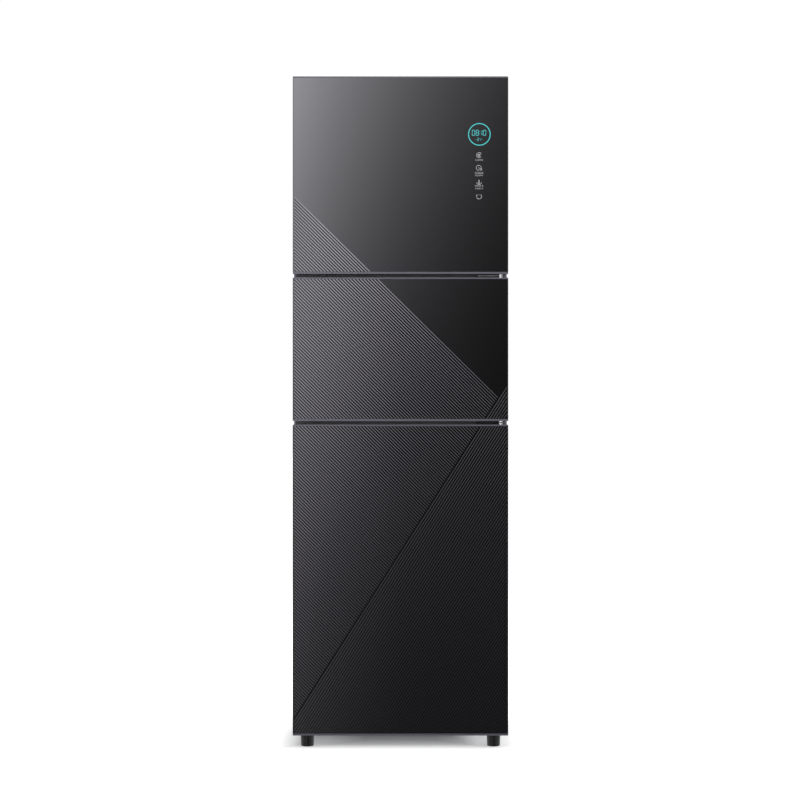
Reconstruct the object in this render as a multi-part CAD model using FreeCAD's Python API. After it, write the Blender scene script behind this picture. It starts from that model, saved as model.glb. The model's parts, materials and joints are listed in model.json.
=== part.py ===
"""Upright dish sterilizer cabinet: three chambers one above the other, each behind its own right-hung glass door.

Units are millimetres. The origin is on the floor, under the middle of the cabinet. +Z is up, +X is to the right as
one faces the doors, and the doors face -Y. Each node is written to parts/NODE.step.
"""
import FreeCAD
import Part
import math
import os

V = FreeCAD.Vector

# ------------------------------------------------------------------ overall sizes
WIDTH = 515.0               # over the doors
DEPTH = 410.0               # door face to the end of the cord gland
DOOR_BOTTOM = 35.0          # floor to the lower edge of the lowest door
UPPER_DOOR = 472.0          # door heights
MIDDLE_DOOR = 343.0
LOWER_DOOR = 743.0
DOOR_GAP = 8.5              # between one door and the next
DOOR_THICKNESS = 42.0
SEAL_GAP = 8.0              # back of a door to the face frame
BODY_INSET = 1.0            # the case is this much narrower than the doors on each side
BODY_RISE = 3.0             # underside of the case above the lower edge of the lowest door
BODY_DROP = 5.0             # top of the case below the upper edge of the highest door
SHEET = 1.0                 # steel sheet of the case, liners and door backs
CLEAR = 0.3                 # clearance between pieces that move past each other

# ------------------------------------------------------------------ doors
RIM_SIDE = 2.5              # width of the frame's rim at the left and right of the glass
RIM_TOP = 3.4               # the same above the glass
RIM_BOTTOM = 4.8            # and below it
GLASS_THICKNESS = 4.0
GLASS_SUNK = 0.3            # glass face behind the rim's face
GLASS_PLAY = 0.2            # glass edge to rim
GLASS_CORNER = 1.5
FRAME_DEPTH = 26.0          # depth of the aluminium frame
FRAME_BAR = 18.0            # width of its bars
FRAME_CORNER = 2.0
GRIP_LIP = 9.0              # front lip that the fingers pull on
GRIP_WIDTH = 15.0           # finger channel along the free edge of a door
GRIP_DEEP = 11.0
LINER_INSET = 2.0           # door back, in from the frame's edge
DISH_MARGIN = 46.0          # edge of the door to the sunk middle of the door back
DISH_DEEP = 10.0
DISH_CORNER = 18.0
SEAL_MARGIN = 20.0          # edge of the door to the outside of its seal
SEAL_WIDTH = 10.0
SEAL_CORNER = 8.0
SEAL_GROOVE = 2.0           # groove between the two lips of the seal

# ------------------------------------------------------------------ hinges
HINGE_IN = 18.0             # pivot axis from the right edge of the doors
HINGE_BACK = 20.0           # pivot axis behind the door face
PIN_RADIUS = 4.0
PIN_FIT = 0.05              # radial running clearance of a pin in its bush
PIN_REACH = 9.0             # length of pin inside a door
COLLAR_RADIUS = 5.0
LEAF = 2.0                  # thickness of a hinge bracket
EYE_RADIUS = 7.0
LEAF_REACH = 54.5           # bracket's left end from the pivot
FLANGE_START = 20.0         # right end of its screwed flange from the pivot
FLANGE_HEIGHT = 14.0
RIVET_RADIUS = 2.4           # stop rivet at the left end of the middle brackets
RIVET_PROUD = 1.2           # its heads, above and below the leaf
BUSH_RADIUS = 5.5
BUSH_LENGTH = 12.0
POCKET_DEEP = 6.0           # pocket in the highest and lowest rails, round the outer brackets
POCKET_LIP = 7.0            # rim left in front of that pocket
POCKET_PAST = 8.0           # pocket beyond the bracket's left end
CAP_PAST = 2.5              # black cap beyond the bracket's left end
CAP_RIGHT = 7.0             # its right end beyond the pivot
CAP_THICKNESS = 5.0
CAP_HEIGHT = 24.0
CAP_WALL = 1.2
SCREW_RADIUS = 2.0
SCREW_HEAD = 3.6
SCREW_HEAD_HEIGHT = 1.8
SCREW_LENGTH = 10.0
SCREW_CROSS = 4.6           # length and width of the slots of a screw's cross recess
SCREW_SLOT = 0.9

# ------------------------------------------------------------------ case and chambers
FACE_SHEET = 1.2            # face frame
FACE_INSET = 5.0            # face frame, in from the side of the case
CHAMBER_MARGIN = 33.0       # edge of a door to the chamber behind it, above and below
CHAMBER_SIDE = 34.0         # the same at the sides
FIELD_CORNER = 12.0         # corners of the fields pressed into the back panel
LINER_FLANGE = 12.0
REAR_SPACE = 50.0           # behind the liners, for fan, heater and boards
GLAND_PROUD = 8.0           # cord gland behind the back panel
CASE_FLANGE = 15.0          # folded edges of the case panels
CASE_BEND = 2.0
RIB_HEIGHT = 1.5            # stiffening panels pressed out of the back
VENT_SLOTS = 7
VENT_WIDTH = 90.0
VENT_HEIGHT = 4.0
VENT_PITCH = 11.0
VENT_UP = 165.0             # lower vent above the lower chamber's floor

# ------------------------------------------------------------------ feet
FOOT_TOP_RADIUS = 17.2
FOOT_BOTTOM_RADIUS = 15.6
FOOT_ROUND = 2.5
FOOT_RECESS = 8.0           # radius of the screw recess underneath
FOOT_IN = 32.5              # foot centres from the sides of the doors
FOOT_FRONT = 72.0           # front feet behind the door face
FOOT_REAR = 45.0            # rear feet in front of the back panel
FOOT_SCREW = 4.0

# ------------------------------------------------------------------ wire shelves, runners and drip tray
SHELF_SETBACK = 60.0        # front of the shelves behind the face frame
SHELF_BACK_PLAY = 10.0
SHELF_HINGE_CLEAR = 36.0    # right edge of the shelves from the pivot axis, so that they pass the open door
BORDER_WIRE = 2.5           # wire radii
CROSS_WIRE = 2.0
ROD_WIRE = 1.5
WELD = 1.0                  # depth that crossing wires are welded into each other
SHELF_CORNER = 10.0
ROD_PITCH = 24.0
FENCE_HEIGHT = 26.0
FENCE_BEND = 8.0
RUNNER_SHEET = 1.2
RUNNER_DROP = 14.0
RUNNER_UNDER = 5.5          # runner's reach under a shelf's border wire
RUNNER_END = 15.0           # runner's front end behind the face frame
UPPER_SHELF_UP = 200.0      # runner tops above the floors of their chambers
MIDDLE_SHELF_UP = 120.0
PLATE_RACK_UP = 150.0
LOWER_SHELF_UP = 420.0
PLATE_SLOTS = 10
PLATE_PITCH = 34.0
HOOP_HEIGHT = 105.0
HOOP_DEPTH = 130.0
HOOP_BEND = 20.0
TRAY_HEIGHT = 18.0
TRAY_CORNER = 14.0
TRAY_PULL = 7.0             # pull lip at the front of the tray

# ------------------------------------------------------------------ hot air, lamp and heaters
FAN_SQUARE = 92.0
FAN_DEPTH = 25.0
FAN_BORE = 42.0
FAN_TIP = 40.0
FAN_HUB = 17.0
FAN_BLADES = 7
FAN_PITCH = 38.0            # blade angle in degrees
FAN_SHAFT = 2.0
FAN_UP = 95.0               # fan's centre above the upper chamber's floor
HEATER_DEPTH = 12.0
HEATER_FINS = 9
GRILLE_SIZE = 112.0
GRILLE_DEPTH = 8.0
GRILLE_SLATS = 8
UV_RADIUS = 7.8
UV_LENGTH = 270.0
UV_DOWN = 62.0              # lamp below the upper chamber's ceiling
UV_OFF = 24.0               # lamp's centre off the back wall
QUARTZ_RADIUS = 6.0
QUARTZ_LENGTH = 350.0
QUARTZ_OFF = 24.0
QUARTZ_UP = 75.0            # lower tube above the lower chamber's floor
QUARTZ_DOWN = 70.0          # upper tube below its ceiling
HOLDER = 24.0               # ceramic end blocks
REFLECTOR_RADIUS = 20.0
GUARD_WIRE = 1.5
GUARD_REACH = 40.0          # guards off the back wall
GUARD_HOOP = 36.0           # height of a guard's hoops
GUARD_BEND = 6.0
GUARD_PAST = 4.0            # its wires beyond the hoops
UV_GUARD_IN = 40.0          # hoops, in from the ends of the ultraviolet tube
UV_CAP = (10.0, 8.4)        # length and radius of the tube's end caps
UV_HOLDER = (16.0, 22.0)    # width and height of its sockets
UV_HOLDER_ROUND = 8.0

# ------------------------------------------------------------------ controls
SWITCH_ALONG = 107.5        # plungers from the free edge of the doors
SWITCH_IN = 10.0            # plungers from the edge of their door
PLUNGER_RADIUS = 2.5
PLUNGER_FIT = 0.1
PLUNGER_TAIL = 9.0
SWITCH_SIZE = (22.0, 18.0, 15.0)
DISPLAY_IN = 69.0           # centre of the lit ring from the hinged edge of the upper door
DISPLAY_DOWN = 138.6        # and below the top of the upper door
RING_RADIUS = 27.8
RING_WIDTH = 3.1
RING_DEEP = 0.6
BOARD_WIDTH = 66.0
BOARD_HEIGHT = 215.0
BOARD_ABOVE = 40.0          # board's top above the ring's centre
BOARD_SHEET = 1.6
LIGHT_BOX = 9.0             # depth of the display's light box behind the glass
POWER_BOARD = (150.0, 95.0)
BOARD_POST = (3.0, 8.0)     # radius and length of the posts that carry it
POST_IN = 6.0               # posts from the edges of the board
TRANSFORMER = (42.0, 26.0, 38.0)
TRANSFORMER_IN = 8.0        # transformer from the left edge of the board
RELAY = (18.0, 16.0, 20.0)
RELAYS = 3
RELAY_PITCH = 24.0
RELAY_UP = 9.5              # relays above the lower edge of the board
CAPACITOR = (9.0, 22.0)     # radius and length
GLAND_IN = 107.5            # gland from the left side of the doors
GLAND_UP = 35.0             # gland above the underside of the case
GLAND_BORE = 3.6
GLAND_RADIUS = 10.0
PROBE_RADIUS = 3.0
PROBE_LENGTH = 22.0
PROBE_NUT = 3.0             # thickness of its nut
PROBE_IN = 40.0             # probes from the right wall
PROBE_UP = 60.0             # and above the middle of their chamber

# ------------------------------------------------------------------ planes and places worked out from the sizes
TOP = DOOR_BOTTOM + LOWER_DOOR + MIDDLE_DOOR + UPPER_DOOR + 2 * DOOR_GAP
FRONT_Y = -DEPTH / 2
DOOR_BACK_Y = FRONT_Y + DOOR_THICKNESS
FRAME_BACK_Y = FRONT_Y + FRAME_DEPTH
FACE_Y = DOOR_BACK_Y + SEAL_GAP
SHELL_Y = FACE_Y + FACE_SHEET                 # front of the folded case panels and of the liners
BACK_Y = DEPTH / 2 - GLAND_PROUD              # outside of the back panel
REAR_FLANGE_Y = BACK_Y - SHEET                # outside of the rear flanges that carry it
LINER_BACK_Y = BACK_Y - REAR_SPACE - SHEET    # outside of the liners' rear walls
CHAMBER_BACK_Y = LINER_BACK_Y - SHEET
HALF = WIDTH / 2
CASE_HALF = HALF - BODY_INSET
FACE_HALF = CASE_HALF - FACE_INSET
CHAMBER_HALF = HALF - CHAMBER_SIDE
FLANGE_HALF = CHAMBER_HALF + SHEET + LINER_FLANGE
CASE_BOTTOM = DOOR_BOTTOM + BODY_RISE
CASE_TOP = TOP - BODY_DROP
PIVOT_X = HALF - HINGE_IN
SWITCH_X = SWITCH_ALONG - HALF
DISPLAY_X = HALF - DISPLAY_IN
GLAND_X = GLAND_IN - HALF
PIVOT_Y = FRONT_Y + HINGE_BACK
SHELF_HALF = PIVOT_X - SHELF_HINGE_CLEAR
SHELF_FRONT_Y = FACE_Y + SHELF_SETBACK
SHELF_BACK_Y = CHAMBER_BACK_Y - SHELF_BACK_PLAY

LOWER_SPAN = (DOOR_BOTTOM, DOOR_BOTTOM + LOWER_DOOR)
MIDDLE_SPAN = (LOWER_SPAN[1] + DOOR_GAP, LOWER_SPAN[1] + DOOR_GAP + MIDDLE_DOOR)
UPPER_SPAN = (MIDDLE_SPAN[1] + DOOR_GAP, TOP)
DOORS = {"upper": UPPER_SPAN, "middle": MIDDLE_SPAN, "lower": LOWER_SPAN}
CHAMBERS = {name: (low + CHAMBER_MARGIN, high - CHAMBER_MARGIN) for name, (low, high) in DOORS.items()}
UPPER_GAP_Z = MIDDLE_SPAN[1] + DOOR_GAP / 2
LOWER_GAP_Z = LOWER_SPAN[1] + DOOR_GAP / 2

UPPER_SHELF_Z = CHAMBERS["upper"][0] + UPPER_SHELF_UP
MIDDLE_SHELF_Z = CHAMBERS["middle"][0] + MIDDLE_SHELF_UP
PLATE_RACK_Z = CHAMBERS["lower"][0] + PLATE_RACK_UP
LOWER_SHELF_Z = CHAMBERS["lower"][0] + LOWER_SHELF_UP
FAN_Z = CHAMBERS["upper"][0] + FAN_UP
UV_Z = CHAMBERS["upper"][1] - UV_DOWN
UV_Y = CHAMBER_BACK_Y - UV_OFF
QUARTZ_Y = CHAMBER_BACK_Y - QUARTZ_OFF
QUARTZ_Z = (CHAMBERS["lower"][0] + QUARTZ_UP, CHAMBERS["lower"][1] - QUARTZ_DOWN)
DISPLAY_Z = TOP - DISPLAY_DOWN
GLAND_Z = CASE_BOTTOM + GLAND_UP
SWITCHES = {
    "upper": UPPER_SPAN[0] + SWITCH_IN,
    "middle": MIDDLE_SPAN[0] + SWITCH_IN,
    "lower": LOWER_SPAN[1] - SWITCH_IN,
}


# ------------------------------------------------------------------ shapes used throughout
def block(x0, x1, y0, y1, z0, z1):
    """A box between two corners."""
    return Part.makeBox(x1 - x0, y1 - y0, z1 - z0, V(x0, y0, z0))


def bar(radius, start, end):
    """A round bar from one point to another."""
    run = V(*end) - V(*start)
    return Part.makeCylinder(radius, run.Length, V(*start), run)


def joined(shapes):
    """One solid from touching or overlapping shapes."""
    return shapes[0].fuse(list(shapes[1:])).removeSplitter()


def less(shape, *tools):
    """The shape with the tools cut away."""
    return shape.cut(list(tools))


def slab(x_half, z_low, z_high, y0, y1, corner):
    """A plate that stands upright across the cabinet, centred on it, with rounded corners."""
    return offset_slab(-x_half, x_half, z_low, z_high, y0, y1, corner)


def offset_slab(x_low, x_high, z_low, z_high, y0, y1, corner):
    """The same between two sides."""
    plate = block(x_low, x_high, y0, y1, z_low, z_high)
    edges = [e for e in plate.Edges if abs(e.tangentAt(e.FirstParameter).y) > 0.9]
    return plate.makeFillet(corner, edges) if corner > 0 else plate


def prism(points, direction, place=V(0, 0, 0)):
    """A closed outline pushed along a direction."""
    corners = [V(*p) + place for p in points]
    return Part.Face(Part.makePolygon(corners + corners[:1])).extrude(V(*direction))


def path(points, bend):
    """Straight runs joined by tangent bends of one radius."""
    corners = [V(*p) for p in points]
    edges = []
    start = corners[0]
    for before, corner, after in zip(corners, corners[1:], corners[2:]):
        back = (before - corner).normalize()
        ahead = (after - corner).normalize()
        half_turn = back.getAngle(ahead) / 2
        setback = bend / math.tan(half_turn)
        middle = (back + ahead).normalize() * (bend / math.sin(half_turn) - bend)
        edges.append(Part.makeLine(start, corner + back * setback))
        edges.append(Part.Arc(corner + back * setback, corner + middle, corner + ahead * setback).toShape())
        start = corner + ahead * setback
    edges.append(Part.makeLine(start, corners[-1]))
    return Part.Wire(edges)


def bent_wire(points, radius, bend):
    """Round wire along a path of runs and bends."""
    line = path(points, bend)
    first = V(*points[0])
    section = Part.Wire(Part.makeCircle(radius, first, V(*points[1]) - first))
    return line.makePipeShell([section], True, True)


def wire_ring(x_half, y0, y1, z, radius, bend):
    """A closed rectangular loop of round wire, lying flat."""
    halves = []
    for side in (-1, 1):
        halves.append(bent_wire([(0, y0, z), (side * x_half, y0, z), (side * x_half, y1, z), (0, y1, z)],
                                radius, bend))
    return joined(halves)


def screw(point, direction, length=SCREW_LENGTH):
    """A pan-head screw with a cross recess: the head's underside is at the point, the shank along the direction."""
    head = Part.makeCylinder(SCREW_HEAD, SCREW_HEAD_HEIGHT, V(0, 0, -SCREW_HEAD_HEIGHT))
    rim = [e for e in head.Edges if len(e.Vertexes) == 1 and e.Vertexes[0].Z < -SCREW_HEAD_HEIGHT / 2]
    head = head.makeChamfer(SCREW_HEAD_HEIGHT / 2, rim)
    shank = Part.makeCylinder(SCREW_RADIUS, length)
    long, wide, deep = SCREW_CROSS / 2, SCREW_SLOT / 2, SCREW_HEAD_HEIGHT / 2
    cross = [block(-x, x, -y, y, -SCREW_HEAD_HEIGHT - 1, deep - SCREW_HEAD_HEIGHT)
             for x, y in ((long, wide), (wide, long))]
    made = less(joined([head, shank]), *cross)
    turn = FreeCAD.Rotation(V(0, 0, 1), V(*direction))
    return made.transformed(FreeCAD.Placement(V(*point), turn).toMatrix())


# ------------------------------------------------------------------ case
def side_panel(side):
    """Folded side panel: a wall with a flange at the front, behind the face frame, and one at the rear."""
    inner = CASE_HALF - SHEET
    rear = CASE_HALF - CASE_FLANGE
    outline = [
        (FLANGE_HALF, SHELL_Y, 0), (CASE_HALF, SHELL_Y, 0), (CASE_HALF, REAR_FLANGE_Y, 0), (rear, REAR_FLANGE_Y, 0),
        (rear, REAR_FLANGE_Y - SHEET, 0), (inner, REAR_FLANGE_Y - SHEET, 0), (inner, SHELL_Y + SHEET, 0),
        (FLANGE_HALF, SHELL_Y + SHEET, 0),
    ]
    low = CASE_BOTTOM + SHEET
    panel = prism(outline, (0, 0, CASE_TOP - SHEET - low), V(0, 0, low))
    bends = [e for e in upright_edges(panel) if abs(e.Vertexes[0].X - CASE_HALF) < 1e-6]
    panel = panel.makeFillet(CASE_BEND, bends)
    holes = [bar(SCREW_RADIUS, (x, REAR_FLANGE_Y - SHEET - 1, z), (x, REAR_FLANGE_Y + 1, z))
             for x, z in panel_screw_places() if x > 0]
    panel = less(panel, *holes)
    return panel if side > 0 else panel.mirror(V(0, 0, 0), V(1, 0, 0))


def upright_edges(shape):
    """Straight edges that run along Z."""
    return [e for e in shape.Edges if abs(e.tangentAt(e.FirstParameter).z) > 0.999]


def end_panel(outside, inward):
    """Top or base of the case: a flat sheet with four flanges folded inward, from its outside plane."""
    flat, lip = sorted((outside, outside + inward * SHEET)), sorted((outside + inward * SHEET,
                                                                   outside + inward * CASE_FLANGE))
    sheet = block(-CASE_HALF, CASE_HALF, SHELL_Y, REAR_FLANGE_Y, *flat)
    sheet = sheet.makeFillet(CASE_BEND, upright_edges(sheet))
    inner = CASE_HALF - SHEET
    rear = CASE_HALF - CASE_FLANGE
    flanges = [
        block(-FLANGE_HALF, FLANGE_HALF, SHELL_Y, SHELL_Y + SHEET, *lip),
        block(-rear, rear, REAR_FLANGE_Y - SHEET, REAR_FLANGE_Y, *lip),
    ]
    for side in (-1, 1):
        x0, x1 = sorted((side * inner, side * (inner - SHEET)))
        flanges.append(block(x0, x1, SHELL_Y + SHEET, REAR_FLANGE_Y - SHEET, *lip))
    holes = [bar(SCREW_RADIUS, (x, SHELL_Y - 1, z), (x, SHELL_Y + SHEET + 1, z)) for x, z in hinge_screw_places()]
    return less(joined([sheet] + flanges), *holes)


def top_panel():
    return end_panel(CASE_TOP, -1)


def base_pan():
    """Base of the case, with a hole over each foot for its screw."""
    pan = end_panel(CASE_BOTTOM, 1)
    holes = [bar(FOOT_SCREW, (x, y, CASE_BOTTOM - 1), (x, y, CASE_BOTTOM + SHEET + 1)) for x, y in foot_places()]
    return less(pan, *holes)


def face_frame():
    """Flat steel face between the case and the doors: two stiles, and rails between the chambers' openings."""
    face = slab(FACE_HALF, CASE_BOTTOM, CASE_TOP, FACE_Y, SHELL_Y, CASE_BEND)
    cuts = [block(-CHAMBER_HALF, CHAMBER_HALF, FACE_Y - 1, SHELL_Y + 1, low, high)
            for low, high in CHAMBERS.values()]
    for z in SWITCHES.values():
        cuts.append(bar(PLUNGER_RADIUS + PLUNGER_FIT, (SWITCH_X, FACE_Y - 1, z), (SWITCH_X, SHELL_Y + 1, z)))
    cuts += [bar(SCREW_RADIUS, (x, FACE_Y - 1, z), (x, SHELL_Y + 1, z)) for x, z in hinge_screw_places()]
    face = less(face, *cuts)
    zones = [block(*sorted((side * CHAMBER_HALF, side * HALF)), FACE_Y - 1, SHELL_Y + 1, 0, TOP) for side in (-1, 1)]
    levels = [0] + [sum(span) / 2 for span in CHAMBERS.values()][::-1] + [TOP]
    zones += [block(-CHAMBER_HALF, CHAMBER_HALF, FACE_Y - 1, SHELL_Y + 1, low, high)
              for low, high in zip(levels, levels[1:])]
    return [face.common(zone) for zone in zones]


def wall_zones(low, high):
    """Prisms that part a chamber's four walls at mitred corners."""
    mitre = CHAMBER_HALF / 4
    far = 2 * LINER_FLANGE
    inner = [(-CHAMBER_HALF + mitre, low + mitre), (CHAMBER_HALF - mitre, low + mitre),
             (CHAMBER_HALF - mitre, high - mitre), (-CHAMBER_HALF + mitre, high - mitre)]
    outer = [(-CHAMBER_HALF - far, low - far), (CHAMBER_HALF + far, low - far),
             (CHAMBER_HALF + far, high + far), (-CHAMBER_HALF - far, high + far)]
    zones = []
    for corner in range(4):
        after = (corner + 1) % 4
        outline = [(x, SHELL_Y - 1, z) for x, z in (outer[corner], outer[after], inner[after], inner[corner])]
        zones.append(prism(outline, (0, CHAMBER_BACK_Y - SHELL_Y + 1, 0)))
    return zones


def chamber_liner(name):
    """Stainless lining of one chamber: four flanged walls behind the face frame, and a rear wall."""
    low, high = CHAMBERS[name]
    wide = CHAMBER_HALF + SHEET
    rim = LINER_FLANGE + SHEET
    tub = block(-wide, wide, SHELL_Y, LINER_BACK_Y, low - SHEET, high + SHEET)
    flange = block(-FLANGE_HALF, FLANGE_HALF, SHELL_Y, SHELL_Y + SHEET, low - rim, high + rim)
    inside = block(-CHAMBER_HALF, CHAMBER_HALF, SHELL_Y - 1, CHAMBER_BACK_Y, low, high)
    liner = less(joined([tub, flange]), inside)
    if name == "upper":
        air = bar(FAN_BORE, (0, CHAMBER_BACK_Y - 1, FAN_Z), (0, LINER_BACK_Y + 1, FAN_Z))
        liner = less(liner, air)
    rear = block(-HALF, HALF, CHAMBER_BACK_Y, LINER_BACK_Y + 1, low - CHAMBER_MARGIN, high + CHAMBER_MARGIN)
    return [liner.common(zone) for zone in wall_zones(low, high) + [rear]]


def back_panel():
    """Rear sheet with pressed stiffening fields, two vents, and the hole of the cord gland."""
    panel = slab(CASE_HALF - SHEET, CASE_BOTTOM + 2 * SHEET, CASE_TOP - 2 * SHEET, REAR_FLANGE_Y, BACK_Y, CASE_BEND)
    fields = []
    hollows = []
    for low, high in CHAMBERS.values():
        edge = CASE_FLANGE + LINER_FLANGE
        span = (CHAMBER_HALF - edge, low + edge, high - edge)
        fields.append(slab(*span, BACK_Y, BACK_Y + RIB_HEIGHT, FIELD_CORNER))
        hollows.append(slab(span[0] - SHEET, span[1] + SHEET, span[2] - SHEET, REAR_FLANGE_Y,
                            BACK_Y + RIB_HEIGHT - SHEET, FIELD_CORNER - SHEET))
    panel = less(joined([panel] + fields), *hollows)
    cuts = [bar(GLAND_RADIUS - 3, (GLAND_X, REAR_FLANGE_Y - 1, GLAND_Z), (GLAND_X, BACK_Y + 5, GLAND_Z))]
    for centre in (FAN_Z, CHAMBERS["lower"][0] + VENT_UP):
        for row in range(VENT_SLOTS):
            z = centre + (row - (VENT_SLOTS - 1) / 2) * VENT_PITCH
            cuts.append(slab(VENT_WIDTH / 2, z - VENT_HEIGHT / 2, z + VENT_HEIGHT / 2, REAR_FLANGE_Y - 1,
                             BACK_Y + 5, VENT_HEIGHT / 2 - 0.01))
    cuts += [bar(SCREW_RADIUS, (x, REAR_FLANGE_Y - 1, z), (x, BACK_Y + 1, z)) for x, z in panel_screw_places()]
    return less(panel, *cuts)


def panel_screw_places():
    """Screws of the back panel, up both sides."""
    x = CASE_HALF - CASE_FLANGE / 2
    low = CASE_BOTTOM + 2 * CASE_FLANGE
    high = CASE_TOP - 2 * CASE_FLANGE
    return [(side * x, low + step * (high - low) / 3) for side in (-1, 1) for step in range(4)]


def panel_screws():
    return [screw((x, BACK_Y, z), (0, -1, 0)) for x, z in panel_screw_places()]


def cord_gland():
    """Bushing that the supply cord leaves through: a collar outside, a neck through the panel and a clip inside."""
    neck = GLAND_RADIUS - 3
    collar = bar(GLAND_RADIUS, (GLAND_X, BACK_Y, GLAND_Z), (GLAND_X, BACK_Y + GLAND_PROUD, GLAND_Z))
    outer_rim = [e for e in collar.Edges if e.Vertexes[0].Y > BACK_Y + 1 and len(e.Vertexes) == 1]
    collar = collar.makeFillet(2.0, outer_rim)
    through = bar(neck, (GLAND_X, REAR_FLANGE_Y, GLAND_Z), (GLAND_X, BACK_Y, GLAND_Z))
    clip = bar(GLAND_RADIUS, (GLAND_X, REAR_FLANGE_Y - 4, GLAND_Z), (GLAND_X, REAR_FLANGE_Y, GLAND_Z))
    bore = bar(GLAND_BORE, (GLAND_X, REAR_FLANGE_Y - 5, GLAND_Z), (GLAND_X, BACK_Y + GLAND_PROUD + 1, GLAND_Z))
    return less(joined([collar, through, clip]), bore)


# ------------------------------------------------------------------ feet
def foot_places():
    return [(side * (HALF - FOOT_IN), y) for side in (-1, 1) for y in (FRONT_Y + FOOT_FRONT, BACK_Y - FOOT_REAR)]


def foot(x, y):
    """Tapered moulded foot with a rounded sole and a screw recess underneath."""
    cone = Part.makeCone(FOOT_BOTTOM_RADIUS, FOOT_TOP_RADIUS, CASE_BOTTOM, V(x, y, 0), V(0, 0, 1))
    sole = [e for e in cone.Edges if len(e.Vertexes) == 1 and abs(e.Vertexes[0].Z) < 1e-6]
    cone = cone.makeFillet(FOOT_ROUND, sole)
    recess = bar(FOOT_RECESS, (x, y, -1), (x, y, CASE_BOTTOM / 3))
    hole = bar(FOOT_SCREW, (x, y, 0), (x, y, CASE_BOTTOM + 1))
    return less(cone, recess, hole)


def feet():
    return [foot(x, y) for x, y in foot_places()]


def foot_screws():
    """Hexagon screws up through the feet into the base pan."""
    screws = []
    for x, y in foot_places():
        seat = CASE_BOTTOM / 3
        head = prism([(x + 7 * math.cos(math.radians(a)), y + 7 * math.sin(math.radians(a)), seat - 5)
                      for a in range(0, 360, 60)], (0, 0, 5))
        shank = bar(FOOT_SCREW, (x, y, seat), (x, y, CASE_BOTTOM + SHEET + 6))
        nut = prism([(x + 8 * math.cos(math.radians(a)), y + 8 * math.sin(math.radians(a)), CASE_BOTTOM + SHEET)
                     for a in range(0, 360, 60)], (0, 0, 5))
        screws.append(joined([head, shank, nut]))
    return screws


# ------------------------------------------------------------------ hinges
def hinge_screw_places():
    """Two screws to each bracket, left of the pivot."""
    xs = [PIVOT_X - FLANGE_START - 8, PIVOT_X - LEAF_REACH + 8]
    zs = [CASE_TOP - FLANGE_HEIGHT / 2 - 1, UPPER_GAP_Z - FLANGE_HEIGHT / 2 - LEAF,
          LOWER_GAP_Z - FLANGE_HEIGHT / 2 - LEAF, CASE_BOTTOM + FLANGE_HEIGHT / 2 + 3]
    return [(x, z) for z in zs for x in xs]


def bracket(leaf_low, flange_low, flange_high, left_front):
    """Hinge bracket: a leaf with an eye at the pivot, and a flange screwed to the face frame.

    The leaf's front edge runs from the eye to left_front, at its left end.
    """
    left = PIVOT_X - LEAF_REACH
    right = PIVOT_X - FLANGE_START
    eye = Part.makeCylinder(EYE_RADIUS, LEAF, V(PIVOT_X, PIVOT_Y, leaf_low))
    arm = prism([
        (PIVOT_X - EYE_RADIUS * 0.9, LEAF_FRONT_Y, leaf_low),
        (PIVOT_X + EYE_RADIUS * 0.99, PIVOT_Y + EYE_RADIUS * 0.12, leaf_low),
        (PIVOT_X - EYE_RADIUS * 0.75, FACE_Y, leaf_low),
        (left, FACE_Y, leaf_low),
        (left, left_front, leaf_low),
    ], (0, 0, LEAF))
    flange = block(left, right, FACE_Y - LEAF, FACE_Y, flange_low, flange_high)
    holes = [bar(SCREW_RADIUS, (x, FACE_Y - LEAF - 1, z), (x, FACE_Y + 1, z))
             for x, z in hinge_screw_places() if flange_low < z < flange_high]
    pin_hole = bar(PIN_RADIUS, (PIVOT_X, PIVOT_Y, leaf_low - 1), (PIVOT_X, PIVOT_Y, leaf_low + LEAF + 1))
    return less(joined([eye, arm, flange]), pin_hole, *holes)


LEAF_FRONT_Y = PIVOT_Y - EYE_RADIUS * 0.43    # front edge of the leaves, beside the eye
TOP_LEAF_Z = TOP - POCKET_DEEP / 2 - LEAF / 2
BOTTOM_LEAF_Z = DOOR_BOTTOM + POCKET_DEEP / 2 - LEAF / 2


def top_hinge():
    return bracket(TOP_LEAF_Z, TOP_LEAF_Z + LEAF - FLANGE_HEIGHT - 2, TOP_LEAF_Z + LEAF, FACE_Y - 3 * LEAF)


def bottom_hinge():
    return bracket(BOTTOM_LEAF_Z, BOTTOM_LEAF_Z, BOTTOM_LEAF_Z + FLANGE_HEIGHT + 2, FACE_Y - 3 * LEAF)


def middle_hinge(gap_z):
    """Bracket between two doors: its leaf is a full rectangle, with a stop rivet at the left end."""
    leaf_low = gap_z - LEAF / 2
    plate = bracket(leaf_low, leaf_low + LEAF - FLANGE_HEIGHT - 3, leaf_low + LEAF, LEAF_FRONT_Y)
    x, y = PIVOT_X - LEAF_REACH + RIVET_RADIUS, LEAF_FRONT_Y + RIVET_RADIUS
    rivet = bar(RIVET_RADIUS, (x, y, leaf_low - RIVET_PROUD), (x, y, leaf_low + LEAF + RIVET_PROUD))
    return joined([plate, rivet])


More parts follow.
